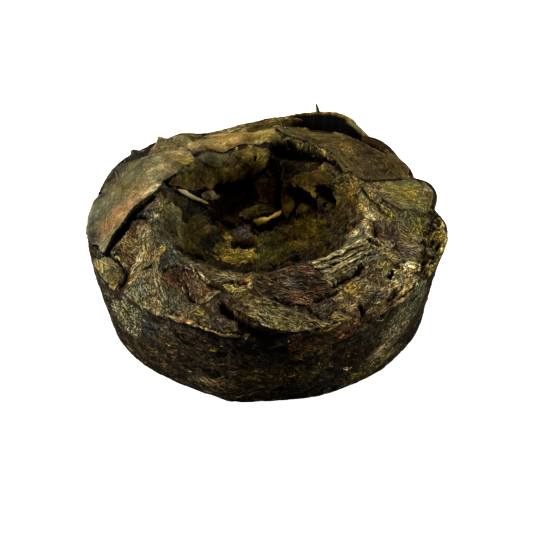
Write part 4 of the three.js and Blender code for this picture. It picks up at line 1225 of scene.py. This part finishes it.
    "wedge": leaf("greyBrown", 0.85, [(359, 182), (366, 180), (375, 181), (383, 185), (380, 192),
        (384, 200), (374, 199), (367, 193)], lift=0.1, hairy=0.75, spots=[(372, 190, "brown", 0.5)]),
    "darkFlake": leaf("greyBrown", 0.4, [(381, 200), (390, 197), (398, 202), (405, 208), (400, 213),
        (391, 212), (385, 208)]),
    "mossCorner": leaf("olive", 1.25, [(416, 180), (427, 179), (432, 188), (434, 200), (435, 210),
        (429, 213), (426, 200), (421, 189)], hairy=0.5, grain=[(420, 182), (430, 210)],
        spots=[(428, 186, "tealGrey", 0.4)]),
    "mossLeaf": leaf("greyOlive", 0.95, [(377, 190), (383, 179), (395, 177), (410, 178), (419, 181),
        (426, 192), (431, 202), (429, 211), (420, 209), (410, 207), (402, 206), (394, 203), (386, 200)],
        lift=0.1, thickness=0.22, hairy=0.6, spots=[(404, 190, "moss", 1.2),
        (412, 196, "oliveYellow", 0.5), (386, 186, "greyTan", 0.5), (420, 202, "moss", 0.6)],
        raised=[(418, 182, 0.2, 1)], grain=[(384, 190), (424, 198)]),
    # back: long smooth leaf, its rim and the torn layers at the lip
    "backTop": leaf("olive", 0.3, [(241, 131), (248, 124), (257, 119), (269, 117), (282, 116), (292, 116),
        (284, 122), (272, 123), (264, 128), (254, 131)], hairy=0.5, lift=0.1,
        spots=[(252, 126, "darkBrown", 0.5), (270, 119, "gold", 0.5)]),
    "backRim": leaf("greyTan", 0.3, [(358, 140), (374, 142), (388, 148), (400, 153), (409, 160),
        (411, 168), (415, 177), (404, 178), (397, 166), (386, 156), (372, 149)], hairy=0.4, lift=0.1,
        spots=[(402, 160, "tan", 0.6), (376, 146, "blackBrown", 0.6), (406, 172, "gold", 0.5)]),
    "lipSteps1": leaf("tealGrey", 0.12, [(286, 135), (300, 139), (316, 145), (332, 154), (322, 153),
        (306, 147), (292, 142)], hairy=0.1, rim=1, grain=[(290, 138), (328, 153)]),
    "lipSteps2": leaf("gold", 0.2, [(298, 146), (312, 150), (325, 155), (337, 163), (347, 172),
        (340, 171), (327, 162), (313, 155)], hairy=0.1, lift=0.1, thickness=0.1, rim=1, grain=[(300, 148),
        (342, 169)]),
    "lipSteps3": leaf("gold", 0.22, [(322, 148), (334, 153), (344, 161), (350, 171), (344, 172),
        (334, 162)], hairy=0.1, lift=0.14, thickness=0.1, rim=1, grain=[(324, 150), (346, 169)]),
    "lipBand": leaf("brown", 0.5, [(345, 168), (352, 170), (358, 182), (359, 194), (355, 212), (350, 218),
        (345, 206), (348, 190)], hairy=0.6, spots=[(350, 200, "gold", 0.6), (354, 180, "gold", 0.4)],
        grain=[(349, 170), (352, 214)]),
    "backLong": leaf("greyBrown", 0.42, [(270, 126), (286, 127), (302, 129), (322, 131), (340, 134),
        (357, 139), (373, 147), (386, 154), (394, 162), (400, 170), (404, 178), (392, 179), (378, 179),
        (364, 178), (353, 172), (346, 165), (339, 158), (329, 150), (316, 144), (300, 138), (284, 133)],
        hairy=0.5, lift=0.2, thickness=0.22, over=True, rim=0.5, bridge=4, step=0.11,
        spots=[(300, 132, "greyTan", 0.7), (318, 137, "pinkTan", 0.35), (350, 147, "pinkTan", 0.5),
        (336, 143, "greyTan", 0.5), (360, 164, "greyTan", 0.7), (384, 170, "blueBlack", 0.6),
        (345, 156, "oliveYellow", 0.3), (328, 148, "oliveYellow", 0.2), (368, 172, "plum", 0.6),
        (330, 136, "darkBrown", 0.3), (372, 154, "darkBrown", 0.35), (394, 168, "gold", 0.35),
        (378, 164, "oliveYellow", 0.25), (354, 158, "darkBrown", 0.2)], grain=[(290, 131), (372, 154)]),
    # back left: tan leaf, dark rim and the great mantle leaf
    "backRimLeft": leaf("greyBrown", 0.9, [(146, 149), (152, 142), (157, 135), (166, 133), (179, 131),
        (190, 134), (195, 137), (188, 146), (178, 150), (166, 152), (154, 156)], hairy=0.4, lift=0.1,
        spots=[(164, 142, "greyGreen", 0.7), (184, 138, "greyTan", 0.6)], raised=[(157, 137, 0.5, 0.5),
        (184, 134, 0.2, 0.8)]),
    "leftDark": leaf("blueBlack", 0.4, [(122, 166), (128, 156), (131, 147), (137, 149), (148, 151),
        (154, 150), (150, 160), (138, 164)], hairy=0.4, lift=0.08, raised=[(133, 150, 0.35, 0.8)]),
    "tanBack": leaf("tan", 0.55, [(186, 144), (196, 137), (208, 132), (222, 130), (238, 129), (252, 130),
        (262, 127), (272, 126), (278, 131), (284, 138), (276, 144), (266, 141), (254, 142), (241, 142),
        (231, 148), (222, 151), (210, 149), (200, 151), (191, 151)], hairy=0.3, lift=0.16, thickness=0.2,
        grain=[(192, 144), (264, 132)], spots=[(204, 142, "pinkTan", 0.8), (216, 138, "tan", 0.8),
        (229, 143, "darkBrown", 0.3), (240, 138, "tawny", 0.6), (256, 134, "oliveYellow", 0.6),
        (270, 136, "oliveYellow", 0.7), (196, 148, "brown", 0.4), (247, 140, "olive", 0.4)],
        raised=[(210, 148, 0.15, 1), (270, 140, 0.2, 0.8)]),
    "mantle": leaf("greyOlive", 0.75, [(84, 236), (84, 224), (86, 212), (91, 202), (97, 193), (101, 183),
        (105, 174), (111, 166), (121, 161), (136, 158), (148, 154), (160, 151), (172, 147), (183, 145),
        (190, 150), (196, 158), (200, 165), (192, 172), (180, 175), (170, 178), (162, 184), (156, 192),
        (148, 195), (141, 200), (133, 207), (127, 215), (121, 223), (114, 232), (109, 241), (106, 251),
        (100, 252), (97, 243), (90, 244)], hairy=0.35, lift=0.3, thickness=0.2, over=True, rag=0.08,
        rim=1, sink=0.01, bridge=9, step=0.12, grain=[(98, 232), (170, 160)], raised=[(119, 243, 0.15, 1),
        (127, 232, 0.2, 1), (138, 218, 0.25, 1), (150, 207, 0.25, 1), (164, 197, 0.2, 1)],
        spots=[(100, 232, "greyBrown", 0.6), (112, 224, "tawny", 0.65), (124, 210, "tawny", 0.9),
        (138, 195, "tawny", 0.8), (152, 182, "tan", 0.9), (166, 168, "pinkTan", 0.6),
        (178, 156, "pinkTan", 1), (190, 164, "oliveYellow", 0.9), (116, 210, "tawny", 0.4),
        (132, 194, "pinkTan", 0.5), (148, 176, "greyTan", 0.6), (158, 160, "greyTan", 0.8),
        (122, 178, "greyOlive", 0.8), (96, 214, "greyGreen", 0.9), (116, 172, "blueBlack", 0.5),
        (92, 240, "blueBlack", 0.6), (90, 222, "blueBlack", 0.5), (98, 198, "blueBlack", 0.5),
        (108, 180, "darkBrown", 0.5), (128, 162, "blueBlack", 0.6), (146, 160, "greyOlive", 0.8),
        (158, 178, "greyOlive", 0.5), (152, 192, "cream", 0.3), (158, 187, "cream", 0.3)]),
}
crownPlates = plates("crownPlates", crownPlate, leafFinish, seed=3000)

# leaf plates in the hollow
hollowPlate = {
    "blueLeft": leaf("blueBlack", 0.6, [(197, 207), (210, 207), (224, 210), (221, 217), (206, 218)]),
    "floorGold": leaf("olive", 1.9, [(204, 250), (214, 243), (227, 241), (238, 243), (253, 242),
        (255, 252), (254, 264), (232, 264), (214, 261)], hairy=0.75, rag=0.3,
        spots=[(222, 256, "gold", 0.5), (236, 248, "brown", 0.6), (251, 256, "cream", 0.3),
        (212, 250, "greyGreen", 0.6), (244, 260, "gold", 0.4)]),
    "floorSlab": leaf("greyGreen", 0.6, [(256, 230), (264, 226), (275, 224), (288, 227), (296, 236),
        (297, 250), (289, 262), (274, 265), (257, 265)], hairy=0.5, soften=12, buckle=0.01, rag=0.3,
        grain=[(268, 230), (270, 268)], spots=[(264, 240, "blueBlack", 0.6), (282, 256, "olive", 0.6),
        (288, 236, "brown", 0.5)]),
    "orangeStrip": leaf("rust", 1.3, [(215, 218), (222, 221), (229, 230), (233, 240), (229, 244),
        (222, 236), (216, 227)], lift=0.06, hairy=0.6, rag=0.12, thickness=0.1,
        spots=[(226, 235, "tan", 0.5)]),
    "greyBlock": leaf("plum", 1.6, [(230, 229), (238, 225), (248, 224), (255, 228), (257, 236),
        (253, 240), (240, 240), (233, 238)], hairy=0.7, cool=True, buckle=0.01, thickness=0.3,
        spots=[(240, 228, "blueBlack", 0.6)]),
    "shelf": leaf("greyBrown", 1, [(237, 214), (248, 206), (262, 203), (274, 204), (279, 209), (268, 214),
        (256, 217), (246, 220)], lift=0.3, hairy=0.6),
    # painted light: strength 4 lifts the crescent far above its leaf colour, though it lies in the hollow's
    # shade
    "crescent": leaf("tan", 4, [(251, 220), (258, 218), (268, 215), (276, 211), (282, 210), (281, 214),
        (274, 219), (266, 224), (258, 226)], lift=0.3, hairy=0.1, thickness=0.2),
    "backLeaf": leaf("redBrown", 1.8, [(252, 182), (262, 179), (276, 180), (277, 187), (273, 196),
        (272, 204), (262, 204), (256, 194)], lift=0.2, hairy=0.3),
    "curl": leaf("rust", 1, [(280, 188), (286, 189), (286, 195), (292, 197), (296, 205), (291, 212),
        (287, 219), (282, 213), (279, 203)], lift=0.2, hairy=0.2, spots=[(288, 204, "tan", 0.5)]),
    "ledge": leaf("olive", 0.24, [(285, 183), (292, 176), (306, 172), (323, 171), (337, 176), (342, 181),
        (330, 185), (316, 186), (306, 190), (297, 188)], lift=0.25, hairy=0.4,
        spots=[(292, 184, "pinkTan", 0.4), (312, 178, "gold", 0.6)]),
    "tooth": leaf("greyTan", 0.6, [(299, 187), (307, 185), (316, 187), (317, 195), (312, 202), (307, 202),
        (303, 195)], lift=0.3, hairy=0.2),
    "greyKnob": leaf("greyTan", 1.3, [(202, 196), (207, 188), (215, 188), (222, 193), (220, 200),
        (210, 201)], lift=0.15, hairy=0.2, arch=0.15, cool=True),
    "draped": leaf("brown", 0.58, [(168, 181), (177, 173), (189, 164), (200, 154), (214, 149), (230, 149),
        (246, 146), (262, 146), (270, 151), (269, 162), (262, 170), (252, 176), (243, 180), (233, 181),
        (226, 184), (214, 188), (200, 191), (188, 190), (176, 187)], hairy=0.35, lift=0.25, over=True,
        thickness=0.3, loose=0.3, grain=[(196, 186), (214, 156)], raised=[(186, 186, 0.2, 1.2),
        (206, 186, 0.35, 1.2), (232, 178, 0.35, 1), (262, 164, 0.3, 1)], spots=[(184, 172, "olive", 1),
        (192, 184, "tan", 0.5), (210, 176, "brown", 0.8), (222, 172, "olive", 0.6),
        (236, 164, "greyBrown", 0.6), (256, 156, "darkBrown", 0.9)]),
    "oliveLobeB": leaf("greyBrown", 0.8, [(228, 155), (240, 160), (251, 167), (254, 172), (247, 178),
        (238, 179), (232, 170)], hairy=0.2, lift=0.12, over=True, thickness=0.12,
        spots=[(240, 168, "olive", 0.6)]),
    "oliveLobeA": leaf("olive", 0.5, [(230, 152), (244, 147), (258, 146), (269, 149), (269, 162),
        (263, 170), (256, 172), (248, 166), (238, 160)], hairy=0.2, lift=0.14, over=True, thickness=0.12,
        spots=[(250, 156, "gold", 0.6)]),
    "greyLobe": leaf("greyGreen", 0.42, [(196, 158), (202, 151), (212, 149), (222, 150), (230, 154),
        (227, 161), (222, 166), (214, 167), (205, 164)], hairy=0.15, lift=0.12, over=True,
        spots=[(222, 156, "greyTan", 0.6)], raised=[(214, 165, 0.12, 0.9)]),
    "stick": leaf("cream", 0.6, [(176, 190), (181, 189), (195, 195), (210, 202), (209, 205), (193, 199),
        (180, 194)], hairy=0.1, lift=0.3, arch=0.2, rag=0.02, over=True, cool=True),
}
hollowPlates = plates("hollowPlates", hollowPlate, leafFinish, seed=7000)

# flakes pressed into the side
wallCut = dict(thickness=0.08, lift=0.02, sink=0.05, rag=0.22, rim=0.3)
wallFlake = {
    "greyLeft": leaf("greyGreen", 0.55, [(103, 292), (122, 298), (138, 309), (146, 326), (138, 342),
        (124, 332), (111, 312)]),
    "greyBlock": leaf("blueBlack", 0.5, [(138, 308), (150, 313), (162, 320), (164, 336), (150, 342),
        (138, 326)]),
    "brownLeft": leaf("brown", 0.26, [(140, 346), (156, 342), (176, 350), (180, 362), (166, 370),
        (148, 362)]),
    "strata1": leaf("gold", 0.4, [(164, 343), (190, 346), (217, 350), (217, 354), (188, 351), (166, 348)],
        hairy=0.9),
    "strata2": leaf("brown", 0.4, [(196, 360), (228, 363), (262, 364), (264, 369), (228, 369),
        (198, 365)]),
    "strata3": leaf("rust", 0.3, [(175, 334), (200, 338), (232, 344), (230, 348), (200, 343),
        (176, 338)]),
    "olivePatch": leaf("olive", 0.3, [(226, 372), (250, 368), (276, 372), (282, 386), (258, 394),
        (232, 390)]),
    "rustPatch": leaf("rust", 0.65, [(286, 350), (288, 338), (297, 334), (305, 337), (313, 346),
        (311, 359), (304, 371), (295, 372), (289, 362)], grain=[(296, 336), (300, 370)]),
    "rustFoot": leaf("brown", 0.4, [(276, 380), (286, 364), (297, 368), (306, 374), (298, 386),
        (284, 390)]),
    "goldFlap": leaf("brown", 0.5, [(300, 333), (318, 328), (338, 323), (350, 324), (342, 336),
        (330, 346), (317, 350), (307, 343)], spots=[(330, 330, "gold", 0.5)]),
    "oliveFlap": leaf("olive", 0.4, [(311, 352), (326, 347), (337, 350), (334, 364), (322, 372),
        (311, 366)]),
    "darkSmooth": leaf("darkBrown", 0.4, [(328, 346), (345, 337), (372, 331), (379, 345), (370, 364),
        (352, 378), (337, 372)], hairy=0.8, rag=0.35, rim=0),
    "brownRight": leaf("brown", 0.45, [(352, 331), (374, 323), (390, 314), (388, 324), (368, 335),
        (353, 341)]),
    "creamFleck": leaf("tan", 1.3, [(343, 370), (347, 367), (352, 367), (355, 365), (352, 370),
        (346, 373)], lift=0.06, sink=0, step=0.06, rim=0),
    "rightStreak1": leaf("tan", 0.7, [(384, 348), (389, 328), (394, 325), (391, 344), (387, 353)]),
    "rightStreak2": leaf("greyTan", 0.7, [(402, 326), (408, 300), (413, 296), (410, 318), (405, 330)]),
    "rightGrey": leaf("greyGreen", 0.6, [(396, 322), (410, 306), (424, 288), (426, 300), (414, 322),
        (400, 336)]),
    "rightLow": leaf("olive", 0.4, [(356, 372), (376, 356), (392, 348), (388, 360), (370, 374),
        (358, 380)]),
}
wallFlakes = plates("wallFlakes", wallFlake, pressedFinish, seed=9000, **wallCut)

# leaf standing along the back of the rim, and the stem tip beside it
backLeaf = {
    "from": 47, "to": 94, "deep": 1.6, "thickness": 0.16, "across": 150, "rows": 30,
    "lowStart": (47, 54, 1.0), "lowEnd": (90, 94, 0.6),  # from bearing, to bearing, mm
    "paleTip": (59, 62), "hairy": 0.5,
    "crest": [  # photo pixels
        (262, 119), (276, 117), (290, 115), (305, 113), (320, 112), (336, 112), (342, 114), (352, 119),
        (361, 128), (368, 135), (377, 142), (386, 150), (394, 158),
    ],
}
bpy.ops.mesh.primitive_grid_add(
    x_subdivisions=backLeaf["across"], y_subdivisions=backLeaf["rows"], size=2)
flap = bpy.context.object
co = meshPoints(flap.data)
bearing = backLeaf["from"] + (co[:, 0] + 1) / 2 * (backLeaf["to"] - backLeaf["from"])
v = (co[:, 1] + 1) / 2
foot = skin(bearing, np.full(len(v), rimAt + 0.1), -backLeaf["deep"])
crest = skin(bearing, np.full(len(v), rimAt - 0.1), -0.1)
column, row, reach = seenAt(crest)
wanted = np.interp(column, *np.array(backLeaf["crest"]).T)
ragged = 0.05 * flatNoise(bearing * 0.5, 0, 41) + 0.05 * flatNoise(bearing * 1.6, 0, 42)
(startLow, startHigh, startDrop), (endLow, endHigh, endDrop) = backLeaf["lowStart"], backLeaf["lowEnd"]
drop = startDrop * (1 - ease(bearing, startLow, startHigh)) + endDrop * ease(bearing, endLow, endHigh)
crest[:, 2] += (row - wanted) / (reach * math.cos(tilt)) + ragged - drop
points = foot * (1 - v)[:, None] + crest * v[:, None]
bend = 0.1 * flatNoise(bearing * 0.2, v * 1.5, 43) + 0.03 * flatNoise(bearing * 0.5, v * 3, 44)
movePoints(flap.data, points + outwards(bearing) * bend[:, None])
# painted shade and light: the face is near black as shade, the top edge gold as a painted highlight, and the
# tip pale as torn edge and painted highlight
lit = ease(v, 0.88, 1.0)[:, None]
tip = ((1 - ease(bearing, *backLeaf["paleTip"])) * ease(v, 0.75, 0.9))[:, None]
tone = colourOf("black", 0.3) * (1 - lit) + colourOf("gold", 0.7) * lit
tone = tone * (1 - tip) + colourOf("tan", 0.8) * tip
grain = np.stack([bearing * 0.26, v * 2.4, np.full(len(v), 5)], axis=1)
writeMarks(flap.data, tone, grain, hairy=backLeaf["hairy"])
thicken(flap, backLeaf["thickness"], 0)
flap = joinPieces("backFlap", [flap], leafFinish)

stemTip = {
    "bearing": 72.5, "radius": 0.24, "top": 0.07, "height": 1.7, "below": 0.85, "slant": 12,
    "wobble": 0.05, "hairy": 0.4,
}
root = crest[np.abs(bearing - stemTip["bearing"]).argmin()] - np.array((0, 0, stemTip["below"]))
bpy.ops.mesh.primitive_cone_add(
    vertices=12, radius1=stemTip["radius"] * mm, radius2=stemTip["top"] * mm, depth=stemTip["height"] * mm,
    location=root * mm + np.array((0, 0, stemTip["height"] / 2 * mm)),
    rotation=(0, math.radians(-stemTip["slant"]), 0))
twig = bpy.context.object
bpy.ops.object.transform_apply(location=True, rotation=True, scale=True)
bpy.ops.object.mode_set(mode="EDIT")
bpy.ops.mesh.select_all(action="SELECT")
bpy.ops.mesh.subdivide(number_cuts=3)
bpy.ops.object.mode_set(mode="OBJECT")
co = meshPoints(twig.data) / mm
wobble = np.stack([solidNoise(co, 2.2, k) for k in (1, 2, 3)], axis=1) * stemTip["wobble"]
movePoints(twig.data, co + wobble)
tone = np.tile(colourOf("darkBrown"), (len(co), 1))
writeMarks(twig.data, tone, co[:, [2, 0, 1]], hairy=stemTip["hairy"])
twig = joinPieces("stemTip", [twig], stemFinish)
print("back flap and stem tip made")


def meshFromArrays(name, points, faces, tone, grain, material, smooth=True):
    mesh = bpy.data.meshes.new(name)
    mesh.from_pydata((points * mm).tolist(), [], faces)
    writeMarks(mesh, tone, grain)
    mesh.materials.append(material)
    mesh.polygons.foreach_set("use_smooth", np.full(len(mesh.polygons), smooth))
    mesh.update()
    piece = bpy.data.objects.new(name, mesh)
    scene.collection.objects.link(piece)
    print(name + ":", len(mesh.polygons), "faces")
    return piece


# fine loose fibres that lie on the scraps: three values stand for crown, wall and hollow
looseFibre = {
    "counts": [450, 400, 30], "turns": [48, 20, 60], "stretch": [1, 0.9, 0.8], "humps": [1, 0.25, 1],
    "shades": [1, 0.7, 0.5], "length": (0.4, 1.6), "thickness": (0.012, 0.028), "bow": 14, "sunkEnd": 0.06,
    "taper": [0.55, 0.9, 1, 1, 0.9, 0.5],
    "tones": [("tan", 1.0), ("cream", 0.8), ("gold", 0.9), ("greyTan", 1.0), ("brown", 1.0),
              ("darkBrown", 0.8)],
}


def fibreLines(rng, counts):  # bearing, along, lift and thickness of each fibre's bends
    zone, n, bends = np.repeat([0, 1, 2], counts), sum(counts), len(looseFibre["taper"])
    turns, stretch, humps = (np.array(looseFibre[key])[zone] for key in ("turns", "stretch", "humps"))
    spans = [(rimAt - 0.1, lipAt + 0.3), (shoulderAt, rimAt), (lipAt, endAt - 1)]
    along0 = np.concatenate([rng.uniform(*span, count) for span, count in zip(spans, counts)])
    bearing0 = rng.uniform(0, 360, n)
    turn = rng.normal(0, turns)
    length = rng.uniform(*looseFibre["length"], n) * stretch
    bow = rng.normal(0, looseFibre["bow"], n)
    thick = rng.uniform(*looseFibre["thickness"], n)
    hump = rng.uniform(-0.03, 0.1, n) * humps
    t = np.linspace(0, 1, bends)
    heading = np.radians(turn[:, None] + bow[:, None] * (t - 0.5) * 2)
    step = (length / (bends - 1))[:, None]
    level, inward = (np.cumsum(way * step, axis=1) - way[:, :1] * step
                     for way in (np.cos(heading), np.sin(heading)))
    radius = np.maximum(sectionAt(along0)[0], 1.5)[:, None]
    bearing = bearing0[:, None] + np.degrees(level / radius)
    along = np.clip(along0[:, None] + inward, 0.5, endAt - 0.3)
    under = pile.under(bearing, along)
    ground = (under + np.roll(under, 1, 1) + np.roll(under, -1, 1)) / 3
    lift = np.maximum(ground, under - 0.05) + thick[:, None] * 0.5 + hump[:, None] * np.sin(np.pi * t)
    lift[:, [0, -1]] -= looseFibre["sunkEnd"]
    return bearing, along, lift, thick


def fibreStrands(name, rng):
    counts, bends, sides = looseFibre["counts"], len(looseFibre["taper"]), 3
    n, each = sum(counts), bends * sides
    bearing, along, lift, thick = fibreLines(rng, counts)
    mid = skin(bearing, along, lift)
    up = skin(bearing, along, lift + 0.2) - mid
    up /= np.linalg.norm(up, axis=-1, keepdims=True)
    way = np.gradient(mid, axis=1)
    way /= np.linalg.norm(way, axis=-1, keepdims=True) + 1e-9
    across = np.cross(way, up)
    taper = np.array(looseFibre["taper"])[None, :, None] * thick[:, None, None]
    rings = [mid + taper * (math.cos(q) * across + math.sin(q) * up)
             for q in (math.pi / 2, math.pi * 7 / 6, math.pi * 11 / 6)]
    points = np.stack(rings, axis=2).reshape(-1, 3)
    faces = []
    for base in range(0, n * each, each):
        for a in range(base, base + each - sides, sides):
            b = a + sides
            faces += [(a, a + 1, b + 1, b), (a + 1, a + 2, b + 2, b + 1), (a + 2, a, b, b + 2)]
        last = base + each - sides
        faces += [(base + 2, base + 1, base), (last, last + 1, last + 2)]
    pick = rng.integers(0, len(looseFibre["tones"]), n)
    table = np.array([colourOf(*entry) for entry in looseFibre["tones"]])
    dim = np.repeat(looseFibre["shades"], counts) * rng.uniform(0.5, 1.1, n)
    tone = np.repeat(table[pick] * dim[:, None], each, axis=0)
    lengthways = np.tile(np.repeat(np.linspace(0, 2, bends), sides), n)
    grain = np.stack([lengthways, np.zeros(n * each), np.repeat(np.arange(n) * 0.37, each)], axis=1)
    return meshFromArrays(name, points, faces, tone, grain, stemFinish)


looseFibres = fibreStrands("looseFibres", np.random.default_rng(404))

# crumbs of leaf caught between the scraps
leafCrumb = {
    "count": 150, "mossy": 90, "mossAt": (350, 11), "size": (0.05, 0.12), "hollowShade": 0.5,
    "tones": ["brown", "olive", "tan", "gold", "greyTan"],
}
bpy.ops.mesh.primitive_ico_sphere_add(subdivisions=1, radius=1)
ball = bpy.context.object
ballPoints = meshPoints(ball.data)
ballFaces = np.array([list(p.vertices) for p in ball.data.polygons])
bpy.data.objects.remove(ball)
rng = np.random.default_rng(505)
count, mossy = leafCrumb["count"], leafCrumb["mossy"]
n = count + mossy
bearing = np.concatenate([rng.uniform(0, 360, count), rng.normal(*leafCrumb["mossAt"], mossy)])
along = np.concatenate([rng.uniform(rimAt, endAt - 1.5, count), rimAt + rng.uniform(-0.3, 1.5, mossy)])
size = rng.uniform(*leafCrumb["size"], n)
centre = skin(bearing, along, pile.under(bearing, along) + size * 0.12)
turns = np.linalg.qr(rng.normal(size=(n, 3, 3)))[0]
turns *= np.linalg.det(turns)[:, None, None]
shapes = ballPoints[None] * rng.uniform(0.6, 1.3, (n, len(ballPoints), 1))
sizes = np.stack([size, size * rng.uniform(0.5, 1, n), size * rng.uniform(0.25, 0.6, n)], axis=1)
points = (np.einsum("nij,nkj->nki", turns, shapes * sizes[:, None]) + centre[:, None]).reshape(-1, 3)
faces = (ballFaces[None] + np.arange(n)[:, None, None] * len(ballPoints)).reshape(-1, 3).tolist()
table = np.array([colourOf(name) for name in leafCrumb["tones"]])
dim = np.where(along > lipAt + 0.5, leafCrumb["hollowShade"], 1.0) * rng.uniform(0.5, 1.1, n)
tone = np.repeat(table[rng.integers(0, len(table), n)] * dim[:, None], len(ballPoints), axis=0)
leafCrumbs = meshFromArrays("leafCrumbs", points, faces, tone, points, leafFinish, smooth=False)

for piece in (pressedSide, pressedCrown, crownPlates, hollowPlates, wallFlakes, flap, twig, looseFibres,
              leafCrumbs):
    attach(piece, "root")
    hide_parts("tea_nest")

# floor and soft light
studio = {
    "floor": 0.8, "floorRadius": 0.7, "floorDrop": 0.00002, "glow": 1.0, "world": 0.03,
    "lights": {  # power, size and place
        "keyLight": (1.9, 0.22, (-0.12, 0.22, 0.36)),
        "leftLight": (4.6, 0.2, (-0.4, -0.02, 0.07)),
        "rightLight": (2.15, 0.2, (0.4, 0.0, 0.07)),
    },
}
bpy.ops.mesh.primitive_circle_add(vertices=96, radius=studio["floorRadius"], fill_type="NGON",
                                  location=(0, 0, -studio["floorDrop"]))
floor = bpy.context.object
floor.name = "studioFloor"
floorPaint = bpy.data.materials.new("paleFloor")
floorPaint.use_nodes = True
paint = floorPaint.node_tree.nodes["Principled BSDF"].inputs
paint["Base Color"].default_value = (studio["floor"],) * 3 + (1,)
paint["Emission Color"].default_value = (1, 1, 1, 1)
paint["Emission Strength"].default_value = studio["glow"]
paint["Roughness"].default_value = 0.9
paint["Specular IOR Level"].default_value = 0.0
floor.data.materials.append(floorPaint)
floor.visible_diffuse = floor.visible_glossy = False  # throws no light back on the cake
world = bpy.data.worlds.new("studio")
world.use_nodes = True
background = world.node_tree.nodes["Background"].inputs
background["Color"].default_value = (1, 1, 1, 1)
background["Strength"].default_value = studio["world"]
scene.world = world
for name, (power, size, place) in studio["lights"].items():
    bpy.ops.object.light_add(type="AREA", location=place)
    lamp = bpy.context.object
    lamp.name = name
    lamp.data.energy, lamp.data.size = power, size
    way = -np.array(place) / np.linalg.norm(place)
    lamp.rotation_euler = (math.acos(-way[2]), 0, math.atan2(way[1], way[0]) - math.pi / 2)
scene.view_settings.view_transform = "Standard"
print("floor and lights set")
